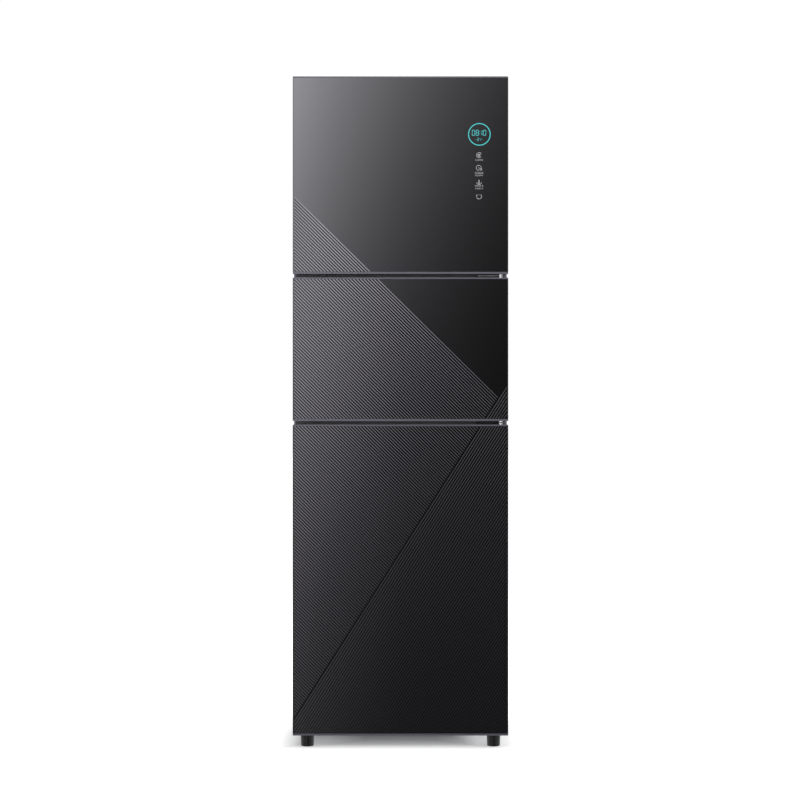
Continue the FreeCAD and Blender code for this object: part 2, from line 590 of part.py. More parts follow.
def hinge_pins():
    """A pin for each bracket, with collars that carry the doors."""
    pins = []
    for gap_z in (UPPER_GAP_Z, LOWER_GAP_Z):
        half = DOOR_GAP / 2
        shaft = bar(PIN_RADIUS, (PIVOT_X, PIVOT_Y, gap_z - half - PIN_REACH), (PIVOT_X, PIVOT_Y,
                                                                              gap_z + half + PIN_REACH))
        collars = [bar(COLLAR_RADIUS, (PIVOT_X, PIVOT_Y, gap_z + side * LEAF / 2),
                       (PIVOT_X, PIVOT_Y, gap_z + side * (half - CLEAR))) for side in (-1, 1)]
        pins.append(joined([shaft] + collars))
    for leaf_low, side in ((TOP_LEAF_Z, -1), (BOTTOM_LEAF_Z, 1)):
        middle = leaf_low + LEAF / 2
        floor = middle + side * (POCKET_DEEP / 2 - CLEAR)
        shaft = bar(PIN_RADIUS, (PIVOT_X, PIVOT_Y, middle - side * LEAF / 2), (PIVOT_X, PIVOT_Y,
                                                                              floor + side * PIN_REACH))
        collar = bar(COLLAR_RADIUS, (PIVOT_X, PIVOT_Y, middle + side * LEAF / 2), (PIVOT_X, PIVOT_Y, floor))
        pins.append(joined([shaft, collar]))
    return pins


def hinge_caps():
    """Black cap over each middle bracket's flange, with a tongue that runs on past the pivot inside the gap."""
    caps = []
    for gap_z in (UPPER_GAP_Z, LOWER_GAP_Z):
        left = PIVOT_X - LEAF_REACH - CAP_PAST
        right = PIVOT_X - FLANGE_START + 2
        low = gap_z + LEAF / 2 - CAP_HEIGHT + CAP_WALL + CLEAR
        tongue_half = DOOR_GAP / 2 - CLEAR
        cap = offset_slab(left, right, low, gap_z + tongue_half, FACE_Y - CAP_THICKNESS, FACE_Y, 2.0)
        tongue = block(right - 4, PIVOT_X + CAP_RIGHT, FACE_Y - CAP_THICKNESS / 2, FACE_Y, gap_z - tongue_half,
                       gap_z + tongue_half)
        room = block(left + CAP_WALL, right - CAP_WALL, FACE_Y - CAP_THICKNESS + CAP_WALL, FACE_Y + 1,
                     low + CAP_WALL, gap_z + LEAF / 2 + CLEAR)
        slot = block(left + CAP_PAST - CLEAR, PIVOT_X + EYE_RADIUS, FACE_Y - CAP_THICKNESS - 1, FACE_Y + 1,
                     gap_z - LEAF / 2 - CLEAR, gap_z + LEAF / 2 + CLEAR)
        caps.append(less(joined([cap, tongue]), room, slot))
    return caps


def hinge_screws():
    return [screw((x, FACE_Y - LEAF, z), (0, 1, 0)) for x, z in hinge_screw_places()]


# ------------------------------------------------------------------ doors
def hinge_pocket(name):
    """Space at the hinge corner of the highest and the lowest door, round the outer brackets."""
    low, high = DOORS[name]
    spans = {"upper": (high - POCKET_DEEP, high + 1), "lower": (low - 1, low + POCKET_DEEP)}
    left = PIVOT_X - LEAF_REACH - POCKET_PAST
    return block(left, HALF + 1, FRONT_Y + POCKET_LIP, FACE_Y, *spans[name]) if name in spans else None


def bush_span(name, end):
    """Lowest and highest point of a pivot bush, at the lower (-1) or the upper (1) end of a door."""
    low, high = DOORS[name]
    edge = high if end > 0 else low
    if (name, end) in (("upper", 1), ("lower", -1)):
        edge -= end * POCKET_DEEP
    return sorted((edge, edge - end * BUSH_LENGTH))


def grip_channel(low, high):
    """Finger channel along the free edge of a door: a round-backed groove behind the front lip."""
    front = FRONT_Y + GRIP_LIP
    middle = front + GRIP_WIDTH / 2
    floor_x = -HALF + GRIP_DEEP
    outline = Part.Wire([
        Part.makeLine(V(-HALF - 1, front, 0), V(floor_x - GRIP_DEEP / 2, front, 0)),
        Part.Arc(V(floor_x - GRIP_DEEP / 2, front, 0), V(floor_x, middle, 0),
                 V(floor_x - GRIP_DEEP / 2, front + GRIP_WIDTH, 0)).toShape(),
        Part.makeLine(V(floor_x - GRIP_DEEP / 2, front + GRIP_WIDTH, 0), V(-HALF - 1, front + GRIP_WIDTH, 0)),
        Part.makeLine(V(-HALF - 1, front + GRIP_WIDTH, 0), V(-HALF - 1, front, 0)),
    ])
    outline.translate(V(0, 0, low - 1))
    return Part.Face(outline).extrude(V(0, 0, high - low + 2))


def door_frame(name):
    """Aluminium frame of a door: an upper and a lower rail, and two stiles between them."""
    low, high = DOORS[name]
    whole = slab(HALF, low, high, FRONT_Y, FRAME_BACK_Y, FRAME_CORNER)
    seat = FRONT_Y + GLASS_SUNK + GLASS_THICKNESS
    rebate = slab(HALF - RIM_SIDE, low + RIM_BOTTOM, high - RIM_TOP, FRONT_Y - 1, seat, GLASS_CORNER)
    middle = slab(HALF - FRAME_BAR, low + FRAME_BAR, high - FRAME_BAR, FRONT_Y - 1, FRAME_BACK_Y + 1, FRAME_CORNER)
    cuts = [rebate, middle, grip_channel(low, high)]
    for end in (-1, 1):
        z0, z1 = bush_span(name, end)
        cuts.append(bar(BUSH_RADIUS, (PIVOT_X, PIVOT_Y, z0), (PIVOT_X, PIVOT_Y, z1)))
    pocket = hinge_pocket(name)
    if pocket:
        cuts.append(pocket)
    ring = less(whole, *cuts)
    wide = HALF + 1
    front, back = FRONT_Y - 1, FRAME_BACK_Y + 1
    zones = [
        block(-wide, wide, front, back, high - FRAME_BAR, high + 1),
        block(-wide, wide, front, back, low - 1, low + FRAME_BAR),
        block(-wide, 0, front, back, low + FRAME_BAR, high - FRAME_BAR),
        block(0, wide, front, back, low + FRAME_BAR, high - FRAME_BAR),
    ]
    return [ring.common(zone) for zone in zones]


def door_glass(name):
    """Toughened glass front of a door. The upper one has the groove of the lit ring."""
    low, high = DOORS[name]
    face = FRONT_Y + GLASS_SUNK
    glass = slab(HALF - RIM_SIDE - GLASS_PLAY, low + RIM_BOTTOM + GLASS_PLAY, high - RIM_TOP - GLASS_PLAY, face,
                 face + GLASS_THICKNESS, GLASS_CORNER)
    return less(glass, display_ring()) if name == "upper" else glass


def door_liner(name):
    """Pressed steel back of a door: a shallow pan whose middle is sunk inside the seal."""
    low, high = DOORS[name]

    def pan(inset, y0, y1, corner):
        return slab(HALF - inset, low + inset, high - inset, y0, y1, corner)

    outside = pan(LINER_INSET, FRAME_BACK_Y, DOOR_BACK_Y, CASE_BEND + SHEET)
    dish = pan(DISH_MARGIN, DOOR_BACK_Y - DISH_DEEP, DOOR_BACK_Y + 1, DISH_CORNER)
    hollow = pan(LINER_INSET + SHEET, FRAME_BACK_Y - 1, DOOR_BACK_Y - SHEET, CASE_BEND)
    dish_skin = pan(DISH_MARGIN - SHEET, DOOR_BACK_Y - DISH_DEEP - SHEET, DOOR_BACK_Y, DISH_CORNER + SHEET)
    pressed = less(outside, dish, less(hollow, dish_skin))
    pocket = hinge_pocket(name)
    if pocket is None:
        return pressed
    wall = pocket.copy()
    wall.translate(V(-SHEET, 0, -SHEET if name == "upper" else SHEET))
    return less(joined([pressed, outside.common(wall)]), pocket)


def door_seal(name):
    """Silicone seal round the back of a door, with a groove between its two lips."""
    low, high = DOORS[name]
    back = FACE_Y - CLEAR

    def ring(outer, inner, y0, y1):
        bigger = slab(HALF - outer, low + outer, high - outer, y0, y1, SEAL_CORNER)
        smaller = slab(HALF - inner, low + inner, high - inner, y0 - 1, y1 + 1, SEAL_CORNER - (inner - outer) / 2)
        return less(bigger, smaller)

    middle = SEAL_MARGIN + SEAL_WIDTH / 2
    body = ring(SEAL_MARGIN, SEAL_MARGIN + SEAL_WIDTH, DOOR_BACK_Y, back)
    return less(body, ring(middle - SEAL_GROOVE / 2, middle + SEAL_GROOVE / 2, back - SEAL_GAP / 3, back + 1))


def door_bushes(name):
    """Plastic bushes in the rails, that the hinge pins turn in."""
    bushes = []
    for end in (-1, 1):
        z0, z1 = bush_span(name, end)
        depth = PIN_REACH + CLEAR
        bore = (z1 - depth, z1 + 1) if end > 0 else (z0 - 1, z0 + depth)
        body = bar(BUSH_RADIUS, (PIVOT_X, PIVOT_Y, z0), (PIVOT_X, PIVOT_Y, z1))
        bushes.append(less(body, bar(PIN_RADIUS + PIN_FIT, (PIVOT_X, PIVOT_Y, bore[0]), (PIVOT_X, PIVOT_Y,
                                                                                      bore[1]))))
    return bushes


def display_ring():
    """Light guide of the display, set flush in the glass."""
    face = FRONT_Y + GLASS_SUNK
    start, end = (DISPLAY_X, face, DISPLAY_Z), (DISPLAY_X, face + RING_DEEP, DISPLAY_Z)
    past = (DISPLAY_X, face + RING_DEEP + 1, DISPLAY_Z)
    return less(bar(RING_RADIUS, start, end), bar(RING_RADIUS - RING_WIDTH, (DISPLAY_X, face - 1, DISPLAY_Z), past))


def display_board():
    """Touch and display board behind the upper glass, with the light box of the display on it."""
    glass_back = FRONT_Y + GLASS_SUNK + GLASS_THICKNESS
    left, right = DISPLAY_X - BOARD_WIDTH / 2, min(DISPLAY_X + BOARD_WIDTH / 2, HALF - FRAME_BAR - 1)
    top = DISPLAY_Z + BOARD_ABOVE
    board_y = glass_back + LIGHT_BOX
    board = block(left, right, board_y, board_y + BOARD_SHEET, top - BOARD_HEIGHT, top)
    light_box = bar(RING_RADIUS, (DISPLAY_X, glass_back, DISPLAY_Z), (DISPLAY_X, board_y, DISPLAY_Z))
    well = bar(RING_RADIUS - RING_WIDTH, (DISPLAY_X, glass_back - 1, DISPLAY_Z), (DISPLAY_X, board_y - 2, DISPLAY_Z))
    pads = [bar(6, (DISPLAY_X, glass_back, z), (DISPLAY_X, board_y, z))
            for z in [DISPLAY_Z - 50 - step * 31 for step in range(4)]]
    return joined([board, less(light_box, well)] + pads)


# ------------------------------------------------------------------ shelves
def runner(side, top_z):
    """Angle on a chamber's side wall, that a shelf slides on."""
    inner = SHELF_HALF - RUNNER_UNDER
    outline = [
        (CHAMBER_HALF, 0, top_z), (inner, 0, top_z), (inner, 0, top_z - RUNNER_SHEET),
        (CHAMBER_HALF - RUNNER_SHEET, 0, top_z - RUNNER_SHEET), (CHAMBER_HALF - RUNNER_SHEET, 0, top_z - RUNNER_DROP),
        (CHAMBER_HALF, 0, top_z - RUNNER_DROP),
    ]
    start = FACE_Y + RUNNER_END
    angle = prism(outline, (0, CHAMBER_BACK_Y - SHELF_BACK_PLAY - start, 0), V(0, start, 0))
    return angle if side > 0 else angle.mirror(V(0, 0, 0), V(1, 0, 0))


def shelf_runners():
    heights = (UPPER_SHELF_Z, MIDDLE_SHELF_Z, PLATE_RACK_Z, LOWER_SHELF_Z)
    return [runner(side, z) for z in heights for side in (-1, 1)]


def shelf_grid(runner_z):
    """Welded wire grid: a border loop, bars across it and rods from front to back."""
    z = runner_z + CLEAR + BORDER_WIRE
    half = SHELF_HALF - BORDER_WIRE
    front, back = SHELF_FRONT_Y + BORDER_WIRE, SHELF_BACK_Y - BORDER_WIRE
    pieces = [wire_ring(half, front, back, z, BORDER_WIRE, SHELF_CORNER)]
    for share in (0.25, 0.75):
        y = front + share * (back - front)
        pieces.append(bar(CROSS_WIRE, (-half, y, z - 0.4), (half, y, z - 0.4)))
    count = int((half - SHELF_CORNER) // ROD_PITCH)
    rod_z = z + CROSS_WIRE + ROD_WIRE - WELD
    for step in range(-count, count + 1):
        x = step * ROD_PITCH
        pieces.append(bar(ROD_WIRE, (x, front, rod_z), (x, back, rod_z)))
    return joined(pieces)


def fence(runner_z, y):
    """Low rail along the front or back of a shelf, that keeps dishes on it."""
    foot_z = runner_z + CLEAR + 2 * BORDER_WIRE + CLEAR
    reach = SHELF_HALF - BORDER_WIRE - 2 * SHELF_CORNER
    top_z = runner_z + FENCE_HEIGHT + 2 * BORDER_WIRE
    points = [(-reach, y, foot_z), (-reach, y, top_z), (reach, y, top_z), (reach, y, foot_z)]
    return bent_wire(points, CROSS_WIRE, FENCE_BEND)


def wire_shelf(runner_z):
    front, back = SHELF_FRONT_Y + BORDER_WIRE, SHELF_BACK_Y - BORDER_WIRE
    return [shelf_grid(runner_z), fence(runner_z, front), fence(runner_z, back)]


def plate_rack():
    """Shelf with a row of hoops that plates stand between."""
    grid_top = PLATE_RACK_Z + CLEAR + BORDER_WIRE + CROSS_WIRE + 2 * ROD_WIRE - WELD
    rail_z = grid_top + CROSS_WIRE - WELD
    foot_z = rail_z + CROSS_WIRE + CLEAR
    middle = (SHELF_FRONT_Y + SHELF_BACK_Y) / 2
    y0, y1 = middle - HOOP_DEPTH / 2, middle + HOOP_DEPTH / 2
    reach = PLATE_SLOTS * PLATE_PITCH / 2 + 2 * CROSS_WIRE
    rails = [bar(CROSS_WIRE, (-reach, y, rail_z), (reach, y, rail_z)) for y in (y0, y1)]
    hoops = []
    for step in range(PLATE_SLOTS + 1):
        x = (step - PLATE_SLOTS / 2) * PLATE_PITCH
        points = [(x, y0, foot_z), (x, y0, foot_z + HOOP_HEIGHT), (x, y1, foot_z + HOOP_HEIGHT), (x, y1, foot_z)]
        hoops.append(bent_wire(points, ROD_WIRE, HOOP_BEND))
    return [joined([shelf_grid(PLATE_RACK_Z)] + rails)] + hoops


def drip_tray():
    """Shallow tray on the floor of the lower chamber, with a pull lip."""
    low = CHAMBERS["lower"][0] + CLEAR
    high = low + TRAY_HEIGHT
    outer = upright_rounded(SHELF_HALF, SHELF_FRONT_Y, SHELF_BACK_Y, low, high, TRAY_CORNER)
    inner = upright_rounded(SHELF_HALF - SHEET, SHELF_FRONT_Y + SHEET, SHELF_BACK_Y - SHEET, low + SHEET, high + 1,
                            TRAY_CORNER - SHEET)
    lip = block(-SHELF_HALF / 3, SHELF_HALF / 3, SHELF_FRONT_Y - TRAY_PULL, SHELF_FRONT_Y + SHEET, high - SHEET, high)
    return joined([less(outer, inner), lip])


def upright_rounded(x_half, y0, y1, z0, z1, corner):
    """A box with its four upright edges rounded."""
    body = block(-x_half, x_half, y0, y1, z0, z1)
    return body.makeFillet(corner, upright_edges(body))


# ------------------------------------------------------------------ hot air
HEATER_BACK_Y = LINER_BACK_Y + HEATER_DEPTH
FAN_BACK_Y = HEATER_BACK_Y + FAN_DEPTH
FAN_SEAT_Y = FAN_BACK_Y - 4.0                 # front of the spider that carries the motor


def ptc_heater():
    """Finned heater between the liner and the fan."""
    half = FAN_SQUARE / 2
    ring = less(offset_slab(-half, half, FAN_Z - half, FAN_Z + half, LINER_BACK_Y, HEATER_BACK_Y, 4.0),
                bar(FAN_BORE, (0, LINER_BACK_Y - 1, FAN_Z), (0, HEATER_BACK_Y + 1, FAN_Z)))
    fins = []
    for row in range(HEATER_FINS):
        z = FAN_Z + (row - (HEATER_FINS - 1) / 2) * 2 * FAN_BORE / (HEATER_FINS + 0.5)
        fins.append(block(-half + 4, half - 4, LINER_BACK_Y + 2, HEATER_BACK_Y - 2, z - 0.5, z + 0.5))
    return joined([ring] + fins)


def fan_housing():
    """Square fan frame with a round throat, and a four-armed spider behind that carries the motor bearing."""
    half = FAN_SQUARE / 2
    frame = less(offset_slab(-half, half, FAN_Z - half, FAN_Z + half, HEATER_BACK_Y, FAN_BACK_Y, 4.0),
                 bar(FAN_BORE, (0, HEATER_BACK_Y - 1, FAN_Z), (0, FAN_BACK_Y + 1, FAN_Z)))
    seat = bar(FAN_HUB, (0, FAN_SEAT_Y, FAN_Z), (0, FAN_BACK_Y, FAN_Z))
    arms = [block(-FAN_BORE - 1, FAN_BORE + 1, FAN_SEAT_Y, FAN_BACK_Y, FAN_Z - 3, FAN_Z + 3),
            block(-3, 3, FAN_SEAT_Y, FAN_BACK_Y, FAN_Z - FAN_BORE - 1, FAN_Z + FAN_BORE + 1)]
    bore = bar(FAN_SHAFT + PIN_FIT, (0, FAN_SEAT_Y - 1, FAN_Z), (0, FAN_BACK_Y + 1, FAN_Z))
    return less(joined([frame, seat] + arms), bore)


def fan_rotor():
    """Hub with pitched blades, and the shaft that turns in the spider."""
    front = HEATER_BACK_Y + 2.0
    back = FAN_SEAT_Y - 1.0
    hub = bar(FAN_HUB, (0, front, FAN_Z), (0, back, FAN_Z))
    shaft = bar(FAN_SHAFT, (0, front + 1, FAN_Z), (0, FAN_BACK_Y - 0.5, FAN_Z))
    swept = less(bar(FAN_TIP, (0, front + 1, FAN_Z), (0, back - 1, FAN_Z)),
                 bar(FAN_HUB - 1, (0, front, FAN_Z), (0, back, FAN_Z)))
    middle = (front + back) / 2
    blades = []
    for step in range(FAN_BLADES):
        blade = block(-9, 9, middle - 0.6, middle + 0.6, FAN_Z + FAN_HUB - 3, FAN_Z + FAN_TIP + 2)
        blade.rotate(V(0, middle, FAN_Z), V(0, 0, 1), FAN_PITCH)
        blade.rotate(V(0, middle, FAN_Z), V(0, 1, 0), step * 360.0 / FAN_BLADES)
        blades.append(blade.common(swept))
    return joined([hub, shaft] + blades)


def air_grille():
    """Slatted cover over the hot-air outlet in the upper chamber's rear wall."""
    half = GRILLE_SIZE / 2
    front = CHAMBER_BACK_Y - GRILLE_DEPTH
    cover = offset_slab(-half, half, FAN_Z - half, FAN_Z + half, front, CHAMBER_BACK_Y, 10.0)
    inside = offset_slab(-half + 1.5, half - 1.5, FAN_Z - half + 1.5, FAN_Z + half - 1.5, front + 1.5,
                         CHAMBER_BACK_Y + 1, 8.5)
    cuts = [inside]
    pitch = (GRILLE_SIZE - 20) / GRILLE_SLATS
    for row in range(GRILLE_SLATS):
        z = FAN_Z + (row - (GRILLE_SLATS - 1) / 2) * pitch
        cuts.append(block(-half + 10, half - 10, front - 1, front + 2, z - pitch / 4, z + pitch / 4))
    return less(cover, *cuts)


# ------------------------------------------------------------------ lamp and heaters
def uv_tube():
    """Ultraviolet tube with a cap at each end."""
    half = UV_LENGTH / 2
    cap, radius = UV_CAP
    glass = bar(UV_RADIUS, (cap - half, UV_Y, UV_Z), (half - cap, UV_Y, UV_Z))
    caps = [bar(radius, (side * (half - cap), UV_Y, UV_Z), (side * half, UV_Y, UV_Z)) for side in (-1, 1)]
    return joined([glass] + caps)


def uv_lamp_holders():
    """Sockets that hold the tube off the rear wall."""
    width, height = UV_HOLDER
    holders = []
    for side in (-1, 1):
        x0, x1 = sorted((side * UV_LENGTH / 2, side * (UV_LENGTH / 2 + width)))
        holder = block(x0, x1, UV_Y - height / 2, CHAMBER_BACK_Y, UV_Z - height / 2, UV_Z + height / 2)
        front = [e for e in holder.Edges if abs(e.tangentAt(e.FirstParameter).x) > 0.9
                 and e.Vertexes[0].Y < UV_Y]
        holders.append(holder.makeFillet(UV_HOLDER_ROUND, front))
    return holders


def wire_guard(z, reach, half):
    """Guard in front of a tube: two hoops on the rear wall and three wires across them."""
    front = CHAMBER_BACK_Y - reach
    low, high = z - GUARD_HOOP / 2, z + GUARD_HOOP / 2
    hoops = []
    for x in (-half, half):
        points = [(x, CHAMBER_BACK_Y, low), (x, front, low), (x, front, high), (x, CHAMBER_BACK_Y, high)]
        hoops.append(bent_wire(points, GUARD_WIRE, GUARD_BEND))
    end = half + GUARD_PAST
    wires = [bar(GUARD_WIRE, (-end, front, z + row * GUARD_HOOP / 4), (end, front, z + row * GUARD_HOOP / 4))
             for row in (-1, 0, 1)]
    return joined(hoops + wires)


def uv_guard():
    return wire_guard(UV_Z, GUARD_REACH, UV_LENGTH / 2 - UV_GUARD_IN)


def heater_guards():
    return [wire_guard(z, GUARD_REACH, QUARTZ_LENGTH / 2 - 0.75 * HOLDER) for z in QUARTZ_Z]


def quartz_tubes():
    """Infrared tubes of the lower chamber."""
    half = QUARTZ_LENGTH / 2
    return [bar(QUARTZ_RADIUS, (-half, QUARTZ_Y, z), (half, QUARTZ_Y, z)) for z in QUARTZ_Z]


def tube_holders():
    """Ceramic block on the rear wall round each end of the infrared tubes."""
    half = QUARTZ_LENGTH / 2
    blocks = []
    for z in QUARTZ_Z:
        for side in (-1, 1):
            x0, x1 = sorted((side * (half - HOLDER / 2), side * (half + HOLDER / 4)))
            body = block(x0, x1, QUARTZ_Y - HOLDER / 2, CHAMBER_BACK_Y, z - HOLDER / 2, z + HOLDER / 2)
            blocks.append(less(body, bar(QUARTZ_RADIUS, (-half, QUARTZ_Y, z), (half, QUARTZ_Y, z))))
    return blocks


def heater_reflectors():
    """Polished trough behind each infrared tube, on a foot against the rear wall."""
    half = QUARTZ_LENGTH / 2 - HOLDER
    troughs = []
    for z in QUARTZ_Z:
        centre = (-half, QUARTZ_Y, z)
        shell = less(bar(REFLECTOR_RADIUS, centre, (half, QUARTZ_Y, z)),
                     bar(REFLECTOR_RADIUS - SHEET, (-half - 1, QUARTZ_Y, z), (half + 1, QUARTZ_Y, z)),
                     block(-half - 1, half + 1, QUARTZ_Y - 2 * REFLECTOR_RADIUS, QUARTZ_Y + REFLECTOR_RADIUS / 3,
                           z - 2 * REFLECTOR_RADIUS, z + 2 * REFLECTOR_RADIUS))
        spine = block(-half, half, QUARTZ_Y + REFLECTOR_RADIUS - SHEET, CHAMBER_BACK_Y, z - 3, z + 3)
        troughs.append(joined([shell, spine]))
    return troughs


def temperature_probes():
    """Sensor through the rear wall of the middle and lower chambers."""
    probes = []
    for name in ("middle", "lower"):
        low, high = CHAMBERS[name]
        z = (low + high) / 2 + PROBE_UP
        x = CHAMBER_HALF - PROBE_IN
        nut = bar(3 * PROBE_RADIUS, (x, CHAMBER_BACK_Y - PROBE_NUT, z), (x, CHAMBER_BACK_Y, z))
        tip = bar(PROBE_RADIUS, (x, CHAMBER_BACK_Y - PROBE_LENGTH, z), (x, CHAMBER_BACK_Y - PROBE_NUT, z))
        probes.append(joined([nut, tip]))
    return probes


# ------------------------------------------------------------------ controls
def door_switches():
    """Safety switch behind the face frame for each door."""
    width, depth, height = SWITCH_SIZE
    switches = []
    for z in SWITCHES.values():
        body = block(SWITCH_X - width / 2, SWITCH_X + width / 2, SHELL_Y, SHELL_Y + depth, z - height / 2,
                     z + height / 2)
        bore = bar(PLUNGER_RADIUS + PLUNGER_FIT, (SWITCH_X, SHELL_Y - 1, z), (SWITCH_X, SHELL_Y + PLUNGER_TAIL + CLEAR,
                                                                             z))
        switches.append(less(body, bore))
    return switches


def switch_plunger(name):
    """Plunger that the closed door holds in."""
    z = SWITCHES[name]
    tip = DOOR_BACK_Y + CLEAR
    pin = bar(PLUNGER_RADIUS, (SWITCH_X, tip, z), (SWITCH_X, SHELL_Y + PLUNGER_TAIL, z))
    nose = [e for e in pin.Edges if len(e.Vertexes) == 1 and abs(e.Vertexes[0].Y - tip) < 1e-6]
    return pin.makeFillet(1.2, nose)


def power_board():
    """Supply board on posts behind the middle chamber, with its transformer, relays and capacitor."""
    width, height = POWER_BOARD
    post_radius, post_length = BOARD_POST
    z = sum(CHAMBERS["middle"]) / 2
    left, low = -width / 2, z - height / 2
    front = LINER_BACK_Y + post_length
    top = front + BOARD_SHEET
    board = block(left, left + width, front, top, low, low + height)
    wide, deep, tall = TRANSFORMER
    parts = [block(left + TRANSFORMER_IN, left + TRANSFORMER_IN + wide, top, top + deep, z - tall / 2, z + tall / 2)]
    wide, deep, tall = RELAY
    for step in range(RELAYS):
        x = step * RELAY_PITCH
        parts.append(block(x, x + wide, top, top + deep, low + RELAY_UP, low + RELAY_UP + tall))
    radius, length = CAPACITOR
    parts.append(bar(radius, (RELAY_PITCH, top, z + height / 4), (RELAY_PITCH, top + length, z + height / 4)))
    corners = [(side * (width / 2 - POST_IN), z + up * (height / 2 - POST_IN)) for side in (-1, 1) for up in (-1, 1)]
    posts = [bar(post_radius, (x, LINER_BACK_Y, corner_z), (x, front, corner_z)) for x, corner_z in corners]
    return joined([board] + parts + posts)


# ------------------------------------------------------------------ every node
def nodes():
    """Name and solid, or solids, of each node."""
    found = {
        "left_side_panel": side_panel(-1),
        "right_side_panel": side_panel(1),
        "top_panel": top_panel(),
        "base_pan": base_pan(),
        "back_panel": back_panel(),
        "face_frame": face_frame(),
        "top_hinge": top_hinge(),
        "upper_middle_hinge": middle_hinge(UPPER_GAP_Z),
        "lower_middle_hinge": middle_hinge(LOWER_GAP_Z),
        "bottom_hinge": bottom_hinge(),
        "hinge_pins": hinge_pins(),
        "hinge_caps": hinge_caps(),
        "hinge_screws": hinge_screws(),
        "feet": feet(),
        "foot_screws": foot_screws(),
        "panel_screws": panel_screws(),
        "cord_gland": cord_gland(),
        "power_board": power_board(),
        "ptc_heater": ptc_heater(),
        "fan_housing": fan_housing(),
        "fan_rotor": fan_rotor(),
        "air_grille": air_grille(),
        "uv_tube": uv_tube(),
        "uv_lamp_holders": uv_lamp_holders(),
        "uv_guard": uv_guard(),
        "quartz_tubes": quartz_tubes(),
        "tube_holders": tube_holders(),
        "heater_reflectors": heater_reflectors(),
        "heater_guards": heater_guards(),
        "temperature_probes": temperature_probes(),
        "door_switches": door_switches(),
        "shelf_runners": shelf_runners(),
        "upper_shelf": wire_shelf(UPPER_SHELF_Z),
        "middle_shelf": wire_shelf(MIDDLE_SHELF_Z),
        "lower_shelf": wire_shelf(LOWER_SHELF_Z),
        "plate_rack": plate_rack(),
        "drip_tray": drip_tray(),
        "display_board": display_board(),
        "display_ring": display_ring(),
    }
    for name in DOORS:
        found[name + "_liner"] = chamber_liner(name)
        found[name + "_door_frame"] = door_frame(name)
        found[name + "_door_glass"] = door_glass(name)
        found[name + "_door_back"] = door_liner(name)
        found[name + "_door_seal"] = door_seal(name)
        found[name + "_door_bushes"] = door_bushes(name)
        found[name + "_switch_plunger"] = switch_plunger(name)
    return found


def main():
    os.makedirs("parts", exist_ok=True)
    for name, shape in nodes().items():
        solids = shape if isinstance(shape, list) else [shape]
        whole = Part.makeCompound(solids) if len(solids) > 1 else solids[0]
        whole.exportStep(os.path.join("parts", name + ".step"))


main()
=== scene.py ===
"""Looks of the dish sterilizer cabinet: finishes for every CAD node, the striped coating and the
lit display of its glass doors, and a plain studio round it."""
import bpy
import bmesh
import json
import math
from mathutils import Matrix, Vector

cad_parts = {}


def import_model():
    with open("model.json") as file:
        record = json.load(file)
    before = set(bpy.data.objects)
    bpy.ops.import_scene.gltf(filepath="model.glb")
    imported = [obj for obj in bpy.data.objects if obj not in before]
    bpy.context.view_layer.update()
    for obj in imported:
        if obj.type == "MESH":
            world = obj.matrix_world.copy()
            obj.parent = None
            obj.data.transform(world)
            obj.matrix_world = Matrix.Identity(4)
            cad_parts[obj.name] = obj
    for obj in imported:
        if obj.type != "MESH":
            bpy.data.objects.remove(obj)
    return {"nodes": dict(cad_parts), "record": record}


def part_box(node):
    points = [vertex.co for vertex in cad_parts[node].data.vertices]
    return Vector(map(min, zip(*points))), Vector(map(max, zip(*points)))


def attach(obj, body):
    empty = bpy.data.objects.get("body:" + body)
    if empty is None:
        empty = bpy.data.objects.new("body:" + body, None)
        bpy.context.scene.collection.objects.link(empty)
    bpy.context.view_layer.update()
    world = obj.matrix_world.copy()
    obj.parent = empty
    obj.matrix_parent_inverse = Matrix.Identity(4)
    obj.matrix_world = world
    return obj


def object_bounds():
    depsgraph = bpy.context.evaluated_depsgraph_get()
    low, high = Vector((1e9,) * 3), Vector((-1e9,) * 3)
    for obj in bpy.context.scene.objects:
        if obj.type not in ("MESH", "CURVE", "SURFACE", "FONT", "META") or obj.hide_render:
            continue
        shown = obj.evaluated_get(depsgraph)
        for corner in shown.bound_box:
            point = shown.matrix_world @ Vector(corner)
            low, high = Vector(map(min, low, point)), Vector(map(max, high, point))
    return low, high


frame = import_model()
NODES = frame["nodes"]
CAD_BOX = [list(corner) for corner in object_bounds()]
FRONT_Y = CAD_BOX[0][1]
BACK_Y = CAD_BOX[1][1]
HALF_WIDTH = CAD_BOX[1][0]
DOORS = ("upper", "middle", "lower")
MM = 0.001
BLACK = (0.0, 0.0, 0.0)
WHITE = (1.0, 1.0, 1.0)


# ------------------------------------------------------------------ shader maths
class Field:
    """A value or colour that changes over a surface, with Python's operators for its maths."""

    def __init__(self, finish, socket):
        self.finish = finish
        self.socket = socket

    def maths(self, operation, *values):
        return self.finish.node("ShaderNodeMath", {"operation": operation}, dict(enumerate(values)))

    def __add__(self, other):
        return self.maths("ADD", self, other)

    def __sub__(self, other):
        return self.maths("SUBTRACT", self, other)

    def __rsub__(self, other):
        return self.maths("SUBTRACT", other, self)

    def __mul__(self, other):
        return self.maths("MULTIPLY", self, other)

    def __gt__(self, other):
        return self.maths("GREATER_THAN", self, other)

    def __lt__(self, other):
        return self.maths("LESS_THAN", self, other)

    def __neg__(self):
        return self * -1.0

    def __abs__(self):
        return self.maths("ABSOLUTE", self)

    def fract(self):
        return self.maths("FRACT", self)

    def exp(self):
        return self.maths("EXPONENT", self)

    def at_most(self, other):
        return self.maths("MINIMUM", self, other)

    def at_least(self, other):
        return self.maths("MAXIMUM", self, other)

    __radd__ = __add__
    __rmul__ = __mul__


MIX_FACTOR, MIX_LOW, MIX_HIGH, MIX_RESULT = 0, 6, 7, 2     # sockets of a Mix node for colours


